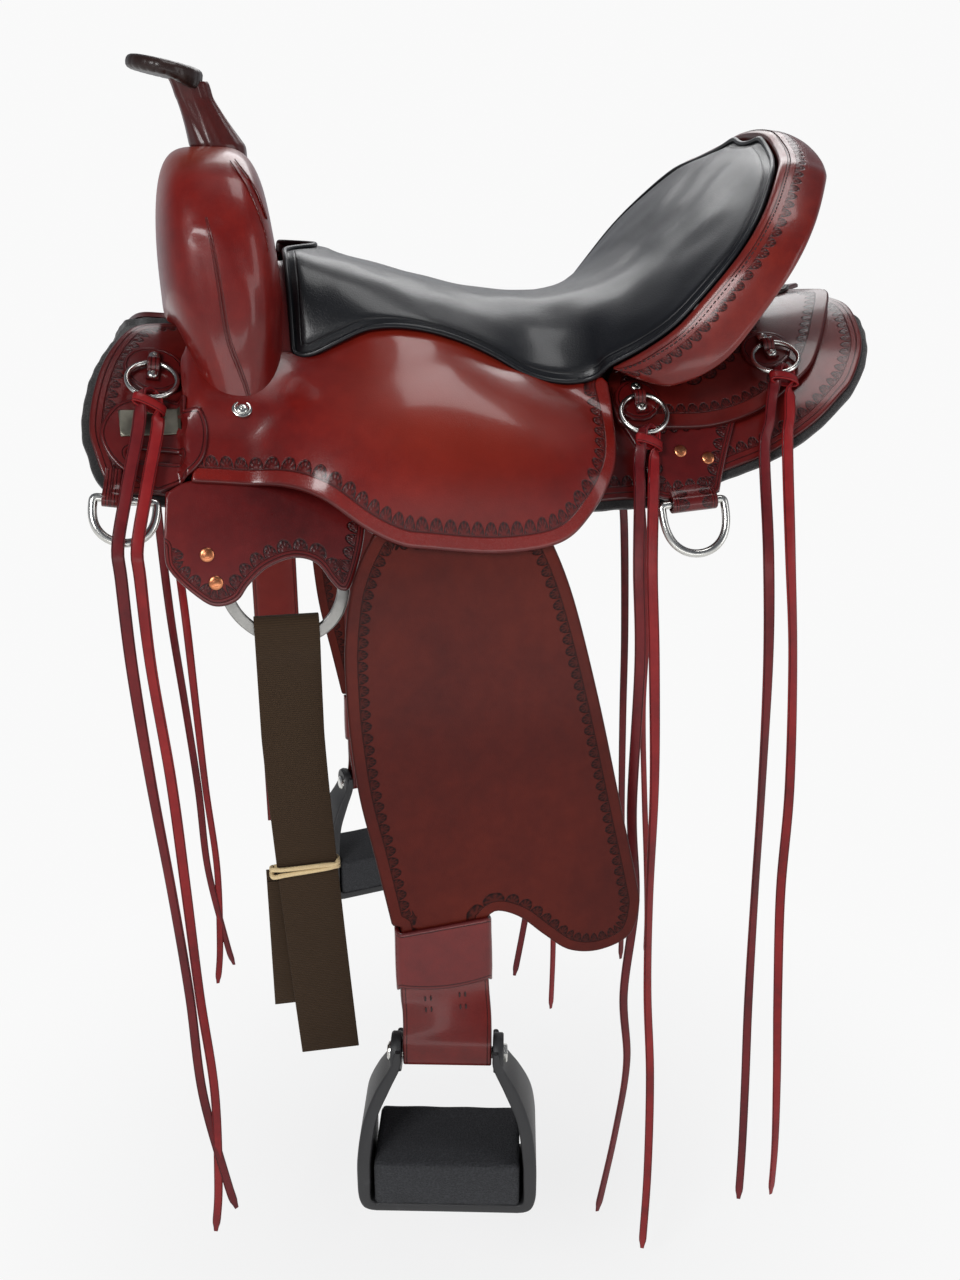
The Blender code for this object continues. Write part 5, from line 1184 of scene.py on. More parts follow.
for name, side in (("left", -1), ("right", 1)):
    for seam, points in (("side", SIDE_SEAM), ("first_gather", GATHERS[0]),
                         ("second_gather", GATHERS[1])):
        course = resampled(through(np.array(points), 8), 150)
        spots, ways = (np.array(v) for v in zip(*[on_fork(x, z, side) for x, z in course]))
        for _ in range(12):
            spots[1:-1] = (spots[:-2] + spots[1:-1] * 2 + spots[2:]) / 4
            ways[1:-1] = (ways[:-2] + ways[1:-1] * 2 + ways[2:]) / 4
        ways = unit(ways)
        thick = 0.0011 if seam == "side" else 0.0008
        rise = np.sin(np.linspace(0.10, math.pi - 0.10, 150)) ** 0.4
        for row, shift in enumerate((-1, 1) if seam == "side" else (0,)):
            sideways = unit(np.cross(np.gradient(spots, axis=0), ways))
            line = spots + sideways * (shift * thick * 1.05 * rise[:, None]) - ways * 0.0003
            welt = sweep(line, circle(thick, 12), ways, scale=0.25 + 0.75 * rise)
            on_saddle(f"fork_{seam}_{row}_{name}", welt, PLAIN, "fork_cover")

# Horn
CAP_CENTRE = Vector((-0.2445, 0.0, 0.2125))
tilt = Matrix.Rotation(math.radians(12), 4, "Y")
cap_low = CAP_CENTRE + tilt @ Vector((0, 0, -0.0115 / 2 - 0.0004))
cap_normal = tilt @ Vector((0, 0, 1))
neck = []
for t in np.linspace(-0.42, 1, 48):
    centre = Vector((-0.2090, 0, 0.1584)).lerp(Vector((-0.2280, 0, 0.2020)), t)
    radius = 0.0135 + 0.0085 * (1 - max(t, 0)) ** 1.5 + 0.0016 * smoothstep((t - 0.7) / 0.3)
    collar = -0.0030 * smoothstep((-0.02 - t) / 0.25)
    ring = []
    for j in range(96):
        a = 2 * math.pi * j / 96
        r = radius - 0.0005 + collar
        r -= 0.0007 * math.exp(-((a - 4.3 + 0.5 * t) / 0.10) ** 2)
        r += 0.0005 * math.sin(5 * a + 2.4 * t + 0.7) * (0.4 + 0.6 * t)
        r += 0.0002 * math.sin(13 * a - 3 * t)
        spot = centre + Vector((r * math.cos(a), r * math.sin(a), 0))
        top = cap_low.z - (spot - cap_low).dot(cap_normal * Vector((1, 1, 0))) / cap_normal.z
        shoulder = 0.0040 * max(math.cos(a), 0) ** 1.5
        if t > 0.80:
            share = (t - 0.80) / 0.20
            spot.z = spot.z * (1 - share) + (top + 0.0004 + shoulder) * share
        ring.append(tuple(spot))
    neck.append(ring)
put("horn_wrap", plain(tube(np.array(neck))), HORN, "saddle", "horn_leather", "horn_neck",
    sharp=60)
profile = [(0.40, -0.0052), (0.70, -0.00565), (0.86, -0.00545), (0.94, -0.0046), (0.985, -0.0030),
           (1.0, -0.0008), (0.99, 0.0016), (0.96, 0.0034), (0.90, 0.0047), (0.80, 0.0054),
           (0.66, 0.00575), (0.45, 0.0054), (0.25, 0.0050), (0.05, 0.0048)]
cap = []
for share, height in profile:
    ring = []
    for j in range(240):
        a = 2 * math.pi * j / 240
        fold = abs(math.sin(a * 11 + 0.5 * math.sin(a * 3))) ** 0.6 - 0.5
        reach = smoothstep((0.0050 - height) / 0.004) * smoothstep((share - 0.30) / 0.4)
        r = share - 0.012 + 0.010 * fold * reach
        z = height + 0.0004 * fold * reach * (1 if height > -0.003 else -1)
        z -= 0.0055 * smoothstep(math.cos(a) * r) * smoothstep((0.0016 - height) / 0.004)
        ring.append(tuple(CAP_CENTRE + tilt @ Vector((0.0295 * r * math.cos(a),
                                                      0.0330 * r * math.sin(a), z))))
    cap.append(ring)
put("horn_disc", plain(tube(np.array(cap))), CAP, "saddle", "horn_leather", "horn_cap", sharp=60)

# Cantle
ROLL_INNER = [(0.2345, 0.000, 0.1680), (0.2340, 0.030, 0.1660), (0.2300, 0.060, 0.1580),
              (0.2220, 0.092, 0.1490), (0.2100, 0.120, 0.1390), (0.1870, 0.155, 0.1110),
              (0.1650, 0.171, 0.0840), (0.1380, 0.171, 0.0510), (0.1190, 0.166, 0.0290),
              (0.0980, 0.154, 0.0110), (0.0800, 0.140, -0.0020)]
ROLL_OUTER = [(0.2640, 0.000, 0.1630), (0.2630, 0.040, 0.1600), (0.2600, 0.080, 0.1500),
              (0.2540, 0.110, 0.1400), (0.2450, 0.132, 0.1310), (0.2230, 0.168, 0.1040),
              (0.2010, 0.187, 0.0740), (0.1760, 0.189, 0.0380), (0.1510, 0.184, 0.0060),
              (0.1220, 0.170, -0.0120), (0.0960, 0.152, -0.0160)]
BACK_LINE = [(0.2400, 0.000), (0.2370, 0.024), (0.2300, 0.044), (0.2190, 0.062),
             (0.2060, 0.078), (0.1900, 0.094), (0.1720, 0.108), (0.1520, 0.117),
             (0.1340, 0.118), (0.1160, 0.114), (0.1000, 0.109)]


def both_sides(rows):
    """Rows of points from the middle outward, completed with their mirror image."""
    rows = np.asarray(rows, float)
    return np.concatenate([rows[:0:-1] * [1, -1, 1], rows])


inner_line = both_sides([(x, -y, z) for x, y, z in ROLL_INNER])
outer_line = both_sides([(x, -y, z) for x, y, z in ROLL_OUTER])
inner_line = through(inner_line, 12)
outer_line = through(outer_line, 12)
along = np.gradient(inner_line, axis=0)
span = outer_line - inner_line
away_from_end = np.minimum(np.arange(len(span)), np.arange(len(span))[::-1]) / 11.0
rounding = np.sqrt(np.clip(1 - (1 - np.clip(away_from_end, 0.0, 1)) ** 2, 0.02, 1))[:, None]
up = unit(np.cross(span, along))
centre_row = len(up) // 2
if up[centre_row, 2] < 0:
    up = -up
for order in (range(centre_row + 1, len(up)), range(centre_row - 1, -1, -1)):
    before = centre_row
    for row in order:
        if up[row] @ up[before] < 0:
            up[row] = -up[row]
        before = row
section = [(0.06, -0.0068), (0.012, -0.0040), (0.0, -0.0022), (0.006, -0.0004), (0.03, 0.0008)]
section += [(t, 0.0009 + 0.0034 * math.sin(math.pi * t) ** 0.8)
            for t in np.linspace(0.07, 0.93, 26)]
section += [(0.975, 0.0006), (0.998, -0.0008), (1.0, -0.0030), (0.985, -0.0058),
            (0.96, -0.0073), (0.7, -0.0073), (0.4, -0.0073), (0.26, -0.0073)]
roll = np.stack([inner_line + span * rounding * t + up * (h + 0.003 * (rounding - 1))
                 for t, h in section], 1)
distance = np.linalg.norm(span, axis=1)
edge = np.array([[min(t, 1.2) * d for t, h in section] for d in distance])
edge = np.where(np.array([h for t, h in section])[None, :] < -0.001, 0.0, edge)
middle = inner_line + span * 0.5
on_saddle("cantle_roll_leather",
          tube(roll, edge=edge.ravel(), along=np.repeat(run_of(middle), len(section))), ROLL,
          "cantle_roll", 50)
line = inner_line + span * (6.2 / 30) + up * 0.0032
spots = spaced(line, 0.004)
near = np.linalg.norm(spots[:, None] - line[None], axis=-1).argmin(1)
on_saddle("roll_stitches", stitches(spots, np.gradient(spots, axis=0), up[near], 0.0028, 0.0005),
          DARK_THREAD, "cantle_roll")

back = []
for k in range(len(ROLL_INNER) - 1):
    a = np.array(ROLL_INNER[k]) * [1, -1, 1]
    b = np.array(ROLL_OUTER[k]) * [1, -1, 1]
    ahead = np.array(ROLL_INNER[k + 1]) * [1, -1, 1] - a if k == 0 else (
        np.array(ROLL_INNER[k + 1]) - np.array(ROLL_INNER[k - 1])) * [1, -1, 1]
    if k == 0:
        ahead = np.array([0, -1.0, 0])
    rise = unit(np.cross(b - a, ahead))
    if rise[2] < 0:
        rise = -rise
    foot = arch(*BACK_LINE[k], BACK_OUT + 0.0010)
    top = b - rise * (0.0075 + 0.0009) - (b - a) * 0.06
    wall = top - foot
    inward = unit(np.cross(ahead, wall))
    if np.dot(inward, a - b) < 0:
        inward = -inward
    back.append([foot + wall * t - inward * np.linalg.norm(wall) * 0.035 * math.sin(math.pi * t)
                 + inward * 0.0003 for t in np.linspace(0, 1, 5)])
back = refined(both_sides(back), 8, 8)
normal = grid_normals(back, 0, 16)
on_saddle("cantle_back_leather", plain(shell(back, back - normal * 0.0026)), PLAIN, "cantle_back",
          60)

# Seat
SEAT_STATIONS = [
    (-0.1620, 0.0840, -0.1630, 0.1120, 0.0100, 6.0),
    (-0.1480, 0.0815, -0.1500, 0.1180, 0.0110, 5.0),
    (-0.1300, 0.0770, -0.1310, 0.1200, 0.0200, 4.2),
    (-0.1080, 0.0715, -0.1080, 0.1200, 0.0300, 3.5),
    (-0.0840, 0.0645, -0.0840, 0.1200, 0.0320, 3.0),
    (-0.0580, 0.0575, -0.0580, 0.1200, 0.0280, 2.7),
    (-0.0320, 0.0505, -0.0320, 0.1200, 0.0195, 2.5),
    (-0.0080, 0.0455, -0.0080, 0.1220, 0.0080, 2.4),
    (0.0180, 0.0420, 0.0180, 0.1240, -0.0070, 2.4),
    (0.0450, 0.0405, 0.0450, 0.1280, -0.0130, 2.4),
    (0.0700, 0.0430, 0.0660, 0.1330, -0.0095, 2.6)]
CANTLE_FACE = [
    (0.0950, 0.0485, 2.7), (0.1150, 0.0580, 2.8), (0.1360, 0.0720, 2.8), (0.1530, 0.0880, 2.6),
    (0.1740, 0.1090, 2.4), (0.1910, 0.1260, 2.2), (0.2080, 0.1435, 2.0), (0.2165, 0.1515, 2.0),
    (0.2230, 0.1575, 2.0), (0.2275, 0.1610, 2.0)]
stations = list(SEAT_STATIONS)
for k, (cx, cz, square) in enumerate(CANTLE_FACE):
    at = len(ROLL_INNER) - 1 - k
    a, b = np.array(ROLL_INNER[at]), np.array(ROLL_OUTER[at])
    ahead = np.array(ROLL_INNER[at - 1]) - a
    wide = unit(b - a)
    rise = unit(np.cross(wide, ahead))
    if rise[2] < 0:
        rise = -rise
    rim = a - wide * 0.0052 - rise * 0.0052 / 2
    stations.append((cx, cz, *rim, square))
seat_rows = []
for index, (cx, cz, ex, ey, ez, square) in enumerate(stations):
    notch = 0.028 * max(0.0, 1 - index / 3)
    v = np.sin(np.pi / 2 * np.linspace(-1, 1, 65))
    reach = 1 - smoothstep(np.abs(v) * ey / 0.052)
    seat_rows.append(np.stack([cx + (ex - cx) * v * v + notch * reach, ey * v,
                               cz + (ez - cz) * np.abs(v) ** square], -1))
seat_top = through(np.array(seat_rows), 7)
rows, columns = seat_top.shape[:2]
normal = grid_normals(seat_top)
distance, run = measure(seat_top.reshape(-1, 3), [rim_line(seat_top)])
distance = distance.reshape(rows, columns)
v = np.abs(np.sin(np.pi / 2 * np.linspace(-1, 1, 65)))
depth = 0.0050 + 0.0070 * (1 - v ** 2)
crown = -0.0030 * (1 - smoothstep(distance / 0.012)) + 0.0010 * smoothstep((distance - 0.01) / 0.05)
wrinkle = 0.0005 * lumps(seat_top[..., 0] * 1.4, seat_top[..., 1], 0.016) * smoothstep(
    (distance - 0.01) / 0.03)
top = seat_top + normal * (crown + wrinkle)[..., None]
under = seat_top - normal * np.maximum(depth, 0.0045)[None, :, None]
cushion = {**shell(top, under), "edge": np.tile(distance.ravel(), 2), "along": np.tile(run, 2)}
pad = put("seat_cushion", cushion, SEAT, "saddle", "seat_leather", "seat_pad", sharp=60)
rim_edge = rim_line(seat_top - normal * 0.0022)
piping = relaxed(spaced(rim_edge, 0.003, True), 3)
put("seat_piping", sweep(piping, circle(0.0021, 10), closed=True), SEAT, "saddle",
    "seat_leather", "seat_pad")

# Leather between the fork and the front edge of the seat
front_edge = seat_top[0]
front_edge = front_edge[np.abs(front_edge[:, 1]) > 0.056]
for name, line in (("right", front_edge[front_edge[:, 1] > 0]),
                   ("left", front_edge[front_edge[:, 1] < 0])):
    rear = line + [0.006, 0, -0.0065]
    front = np.column_stack([np.full(len(line), -0.1715), line[:, 1], line[:, 2] - 0.0085])
    bridge = np.stack([rear, (rear * 2 + front) / 3 - [0, 0, 0.0008],
                       (rear + front * 2) / 3 - [0, 0, 0.0010], front], 1)
    on_saddle(f"fork_bridge_{name}", plain(shell(bridge, bridge - [0, 0, 0.002])), PLAIN,
              "fork_cover")


# Disc that keeps the latigo, over the front of the jockey, and the bare metal plate on it
def disc_low(x, s):
    share = smoothstep((x + 0.2500) / 0.006) * (1 - smoothstep((s - 0.196) / 0.008))
    return PLATE_IN + np.maximum(soft_cover(x, s) + 0.0042 - PLATE_IN, 0) * share


put("latigo_disc", sheet(keeper_line, lambda a, b: disc_low(a, b) + 0.0026, disc_low,
                         holes=[keeper_slot], step=0.0020), DISC, "saddle", "oxblood_leather",
    "latigo_keeper_left")
plate_line = curve_line([(-0.2910, 0.1480, True), (-0.2475, 0.1415, True),
                         (-0.2470, 0.1615, True), (-0.2900, 0.1680, True)], True)
put("name_plate_bare", sheet(plate_line, lambda a, b: disc_low(a, b) + 0.0040,
                             lambda a, b: disc_low(a, b) + 0.0022, step=0.0016, roll=0.0007,
                             rings=(0.0002, 0.0005, 0.0012, 0.0024)),
    PLATE, "saddle", "stainless_steel", "latigo_keeper_left")

# Fender, keeper and stirrup leather
FENDER_EDGE = [
    (-0.100, -0.100), (-0.113, -0.104), (-0.119, -0.112), (-0.128, -0.130), (-0.135, -0.152),
    (-0.140, -0.190), (-0.1405, -0.225), (-0.139, -0.260), (-0.134, -0.309), (-0.124, -0.360),
    (-0.113, -0.4185, True), (-0.1065, -0.4195, True), (-0.1065, -0.456, True),
    (-0.0375, -0.456, True), (-0.0375, -0.4195, True), (-0.028, -0.4145), (-0.010, -0.422),
    (0.010, -0.440), (0.031, -0.456), (0.057, -0.459), (0.082, -0.448), (0.090, -0.422),
    (0.087, -0.399), (0.072, -0.328), (0.054, -0.243), (0.034, -0.163), (0.017, -0.118),
    (0.008, -0.109), (-0.010, -0.104)]
fender_line = curve_line(FENDER_EDGE, True)
put_pair("fender_sheet", sheet(fender_line, FENDER_OUT, FENDER_IN, strap_plane, roll=0.0019),
         FENDER, "fender_leg_{side}", "fender_leather", "fender_{side}")

BOLT_Z, BOLT_N = -0.534, 0.0311
bolt = strap_plane(-0.072, BOLT_Z, BOLT_N)
STIRRUP_TURN = math.radians(12)


def twisted(points):
    """The end of the strap turns about the upright line through its bolt."""
    share = smoothstep((-0.482 - points[:, 2]) / 0.038)
    angle = -STIRRUP_TURN * share
    x, y = points[:, 0] - bolt[0], points[:, 1] - bolt[1]
    return np.stack([bolt[0] + x * np.cos(angle) - y * np.sin(angle),
                     bolt[1] + x * np.sin(angle) + y * np.cos(angle), points[:, 2]], -1)


down = math.sin(SIDE_ANGLE)
loop_radius = 0.0063 + 0.002
line = [(0.0216, -0.092), (0.0216, -0.2), (0.0216, -0.3), (0.0216, -0.4), (0.0216, -0.47),
        (0.0218, -0.492), (0.0225, -0.506), (0.0228, BOLT_Z + 0.012)]
line += [(BOLT_N + loop_radius * math.cos(t), BOLT_Z + loop_radius * math.sin(t) * down)
         for t in np.radians(np.linspace(180, 360, 15))]
line += [(0.0392, BOLT_Z + 0.012), (0.0355, -0.510), (0.0300, -0.488), (0.0268, -0.474),
         (0.0264, -0.463)]
profile = through(np.array([(n, z, 0) for n, z in line]), 4)[:, :2]
profile = spaced(profile, 0.0028)
centre = strap_plane(np.full(len(profile), -0.072), profile[:, 1], profile[:, 0])
face = np.cross([1.0, 0, 0], unit(np.gradient(centre, axis=0)))
data = sweep(centre, rounded(0.0716, 0.0037), face)
data["points"] = twisted(data["points"])
put_pair("stirrup_strap", data, STRAP, "fender_leg_{side}", "fender_leather",
         "stirrup_leather_{side}")

# Two columns of short pressed slots in the front ply
slots = []
for column in (-0.017, 0.011):
    for row in (-0.4835, -0.4925):
        for shift in (0.0, 0.0045):
            n = np.interp(-row, [0.474, 0.488, 0.510], [0.0268, 0.0300, 0.0355]) + 0.0019
            spot = twisted(strap_plane(-0.072 + column + shift, row, n)[None])[0]
            tall = twisted(strap_plane(-0.072 + column + shift, row + 0.003, n)[None])[0] - spot
            slots.append((spot, tall, np.array([0, -1.0, 0.1])))
spots, ahead, face = (np.array(v) for v in zip(*slots))
put_pair("strap_slots", stitches(spots, ahead, face, 0.0048, 0.0007), DARK_THREAD,
         "fender_leg_{side}", "fender_leather", "stirrup_leather_{side}")

# Hobble keeper: a wide loop, bowed a little at its lower edge
half_width, low, high, wall = 0.0364, 0.0192 - 0.0015, 0.0289 + 0.0015, 0.0026
corner = 0.0045
line = []
for cx, cn, start in ((half_width + 0.0013, high, 0), (-half_width - 0.0013, high, 90),
                      (-half_width - 0.0013, low, 180), (half_width + 0.0013, low, 270)):
    sx, sn = (1 if cx > 0 else -1), (1 if cn > 0.02 else -1)
    line += [(cx - sx * corner + corner * math.cos(t), cn - sn * corner + corner * math.sin(t))
             for t in np.radians(np.linspace(start, start + 90, 8))]
line = spaced(np.array(line), 0.0025, True)
KEEPER_MIDDLE = (-0.4205 - 0.476) / 2
rows = ((-0.4205, -0.0006), (-0.4213, 0), (-0.424, 0), (-0.433, 0), (-0.443, 0.0002),
        (-0.453, 0.0003), (-0.464, 0.0003), (-0.472, 0), (-0.4752, 0), (-0.476, -0.0006))
outer_rows, inner_rows = [], []
for z, grow in rows:
    away = offset_line(line, wall / 2 + grow)
    toward = offset_line(line, -(wall / 2 - 0.0002))
    front = smoothstep((away[:, 1] - 0.027) / 0.004)
    bow = 1 - ((away[:, 0]) / 0.04) ** 2
    share = smoothstep((z - KEEPER_MIDDLE) / -0.028)
    rise = smoothstep((z - KEEPER_MIDDLE) / 0.028)
    zz = z + front * ((0.0035 * rise * (away[:, 0] / 0.04)) - (1 - bow) * -0.006 * share)
    outer_rows.append(strap_plane(-0.072 + away[:, 0], zz, away[:, 1]))
    inner_rows.append(strap_plane(-0.072 + toward[:, 0], zz, toward[:, 1]))
grid = np.array(outer_rows + inner_rows[::-1])
rim_distance = np.repeat([min(-0.4205 - z, z + 0.476) for z, g in rows], grid.shape[1])
on_leg("keeper_loop", hooped(grid, edge=np.tile(rim_distance, 2)), DISC, "hobble_keeper_{side}")

# Stirrup: a moulded frame, thicker round the bolt, with a foam tread on its floor
stirrup_frame = Matrix.Translation(bolt) @ Matrix.Rotation(-STIRRUP_TURN, 4, "Z")
W, DROP, TREAD, DEPTH, EAR = 0.0735, 0.134, 0.091, 0.072, 0.034
FLOOR = 0.0085
outer_side = curve_line([
    (0.0415, 0.010, True), (0.0470, -0.006), (0.0590, -0.027), (0.0685, -0.052),
    (0.0728, -0.080), (W, -0.106), (W - 0.0006, -DROP + 0.014), (W - 0.0034, -DROP + 0.0050),
    (W - 0.0080, -DROP + 0.0012), (W - 0.0140, -DROP, True)], steps=10)
inner_side = curve_line([
    (0.0370, 0.010, True), (0.0375, -0.004), (0.0465, -0.024), (0.0570, -0.048),
    (0.0618, -0.078), (0.0628, -0.104), (0.0628, -DROP + FLOOR + 0.004),
    (0.0590, -DROP + FLOOR, True)], steps=10)
outer_side = np.vstack([outer_side, [(0.030, -DROP), (0.0, -DROP)]])
inner_side = np.vstack([inner_side, [(0.030, -DROP + FLOOR), (0.0, -DROP + FLOOR)]])


a, b = resampled(outer_side, 90), resampled(inner_side, 90)
a = np.vstack([a, a[-2::-1] * [-1, 1]])
b = np.vstack([b, b[-2::-1] * [-1, 1]])
CORNER = 0.0022
rows = []
for p, q in zip(a, b):
    share = smoothstep((-p[1] + 0.004) / (TREAD + 0.004))
    deep = DEPTH / 2 * (EAR / DEPTH + (1 - EAR / DEPTH) * share) - CORNER
    way = unit(p - q)
    section = []
    for spot, sign, y, start in ((p, -1, -1, -90), (p, -1, 1, 0), (q, 1, 1, 90), (q, 1, -1, 180)):
        for k in range(4):
            angle = math.radians(start + 30 * k)
            x, z = spot + way * (sign + math.cos(angle)) * CORNER
            section.append((x, y * deep + math.sin(angle) * CORNER, z))
    rows.append(section)
body = tube(np.array(rows))
across = Matrix.Rotation(math.pi / 2, 4, "Y")
parts = [body]
for side in (-1, 1):
    boss = turned([(0.0155, -0.0040), (0.0160, -0.0030), (0.0160, 0.0030), (0.0150, 0.0042),
                   (0.0, 0.0042)], Matrix.Translation((side * 0.0415, 0, 0.0)) @ Matrix.Rotation(
                       side * math.pi / 2, 4, "Y"), 36)
    parts.append(boss)
put_pair("stirrup_frame", moved(meshes(*parts), stirrup_frame), PLASTIC, "stirrup_foot_{side}",
         "moulded_plastic", "stirrup_{side}", sharp=50)
rod = turned([(0.0048, -0.0445), (0.0048, 0.0475), (0.0040, 0.0490), (0.0, 0.0490)], across, 20)
nut = turned([(0.0042, 0.0440), (0.0074, 0.0443), (0.0080, 0.0450), (0.0080, 0.0478),
              (0.0070, 0.0488), (0.0050, 0.0489)], across, 6)
washer = turned([(0.0098, 0.0432), (0.0098, 0.0442), (0.0, 0.0442)], across, 24)
head = turned([(0.0, -0.0495), (0.0060, -0.0490), (0.0078, -0.0475), (0.0082, -0.0445),
               (0.0, -0.0445)], across, 24)
put_pair("stirrup_bolt", moved(meshes(rod, nut, washer, head), stirrup_frame), STEEL,
         "stirrup_foot_{side}", "moulded_plastic", "stirrup_{side}", sharp=35)

# Tread: a thick foam block on the floor of the frame, a little proud of it at the front
TOP = -TREAD + 0.0058
BASE = -DROP + FLOOR - 0.0006
half = 0.0595
columns_x = np.concatenate([[-1, -0.99, -0.97], np.linspace(-0.94, 0.94, 40),
                            [0.97, 0.99, 1]]) * half
profile = [(-0.0345, BASE), (-0.0358, BASE + 0.0030), (-0.0358, TOP - 0.0035),
           (-0.0350, TOP - 0.0010), (-0.0325, TOP)]
profile += [(y, TOP + 0.0006 * math.cos(y * 45)) for y in np.linspace(-0.030, 0.030, 26)]
profile += [(0.0325, TOP), (0.0350, TOP - 0.0010), (0.0358, TOP - 0.0035),
            (0.0358, BASE + 0.0030), (0.0345, BASE), (0.0, BASE)]
grid = []
for x in columns_x:
    tuck = 0.0026 * max(0.0, 1 - (half - abs(x)) / 0.0032) ** 2
    ring = []
    for y, z in profile:
        uneven = 0.0003 * math.sin(x * 160 + z * 300) * (abs(y) > 0.033)
        ring.append((x, y * (1 - tuck / 0.036) + uneven, z - tuck * (z > BASE + 0.01)))
    grid.append(ring)
put_pair("tread_block", moved(tube(np.array(grid)), stirrup_frame), RUBBER,
         "stirrup_foot_{side}", "rubber", "tread_pad_{side}", sharp=50)

# Latigo of webbing on the left, leather billet on the right
RING_LOW_S = RIG_S + RIG_OUTER - RIG_BAND / 2
sag = (RIG_OUTER - RIG_BAND) - math.sqrt((RIG_OUTER - RIG_BAND) ** 2 - 0.024 ** 2)
hinge = arch(RIG_X, RING_LOW_S - sag / 2, (PLATE_IN + PLATE_OUT) / 2)
half_hole = 0.0015 + 0.0034
hole_up = (RIG_BAND + sag) / 2 + 0.0045


def ply(line, width, thick, step=0.003):
    """A flat strap along a line of (outward, height) from the hinge."""
    line = spaced(through(np.array([(p, q, 0) for p, q in line]), 6)[:, :2], step)
    path = np.array([(hinge[0], hinge[1] - p, hinge[2] + q) for p, q in line])
    face = np.cross([1.0, 0, 0], unit(np.gradient(path, axis=0)))
    return sweep(path, rounded(width, thick), face)


over = half_hole + 0.00125
fold = [(-0.0014, -0.33), (-0.0014, -0.25), (-0.0014, -0.15), (-0.0014, -0.06),
        (-0.0030, -hole_up - 0.012), (-over, -hole_up + 0.004), (-over, hole_up * 0.3)]
fold += [(over * math.cos(t) * -1, hole_up * 0.45 + (hole_up * 0.55 + 0.0010) * math.sin(t))
         for t in np.radians([20, 50, 90, 130, 160])]
front = [(over, hole_up * 0.3), (over, -hole_up + 0.004), (0.0030, -hole_up - 0.012),
         (0.0014, -0.06), (0.0014, -0.15), (0.0014, -0.25), (0.0012, -0.33), (0.0010, -0.374)]


def leaning(data, start, reach):
    """The lower part of a strap drifts toward the rear."""
    points = data["points"].copy()
    share = np.clip((start - points[:, 2]) / (start + 0.56), 0, 1)
    points[:, 0] += reach * share ** 1.2
    return {**data, "points": points}


strap = leaning(ply(fold + front, 0.0476, 0.0022), -0.26, 0.017)
put("webbing_strap", strap, WEBBING, "latigo_body_left", "webbing", "latigo_left")
spare = [(-0.0045, -0.20), (-0.0045, -0.27), (-0.0055, -0.315), (-0.0044, -0.328),
         (-0.0034, -0.315), (-0.0030, -0.27), (-0.0030, -0.21)]
loop = ply(spare, 0.0260, 0.0012)
loop["points"][:, 0] += -0.0140
put("webbing_fold", loop, WEBBING, "latigo_body_left", "webbing", "latigo_left")
ELASTIC_Z = hinge[2] - 0.195
band_line = []
for t in np.linspace(0, 2 * math.pi, 72, endpoint=False):
    cx = 0.0262 * np.sign(math.cos(t)) * abs(math.cos(t)) ** 0.25
    cy = 0.0048 * np.sign(math.sin(t)) * abs(math.sin(t)) ** 0.35 - 0.0006
    band_line.append((hinge[0] + cx + 0.0035, hinge[1] + cy, ELASTIC_Z + 0.055 * cx))
band_line = np.array(band_line)
for name, drop, swing in (("elastic_upper", 0.0, 0.0012), ("elastic_lower", -0.0044, -0.0012)):
    strand = band_line + [0, 0, drop]
    strand[:, 2] += swing * np.sin(np.linspace(0, 4 * math.pi, len(strand)))
    strand = relaxed(strand, 2)
    put(name, sweep(strand, circle(0.0019, 8), closed=True), ELASTIC, "latigo_body_left",
        "webbing", "latigo_left")
billet = ply(fold + front, 0.0468, 0.0024)
billet["points"] = billet["points"] * [1, -1, 1]
billet["faces"] = [f[::-1] for f in billet["faces"]]
put("leather_billet", billet, STRAP, "off_billet_body_right", "oxblood_leather",
    "off_billet_right")

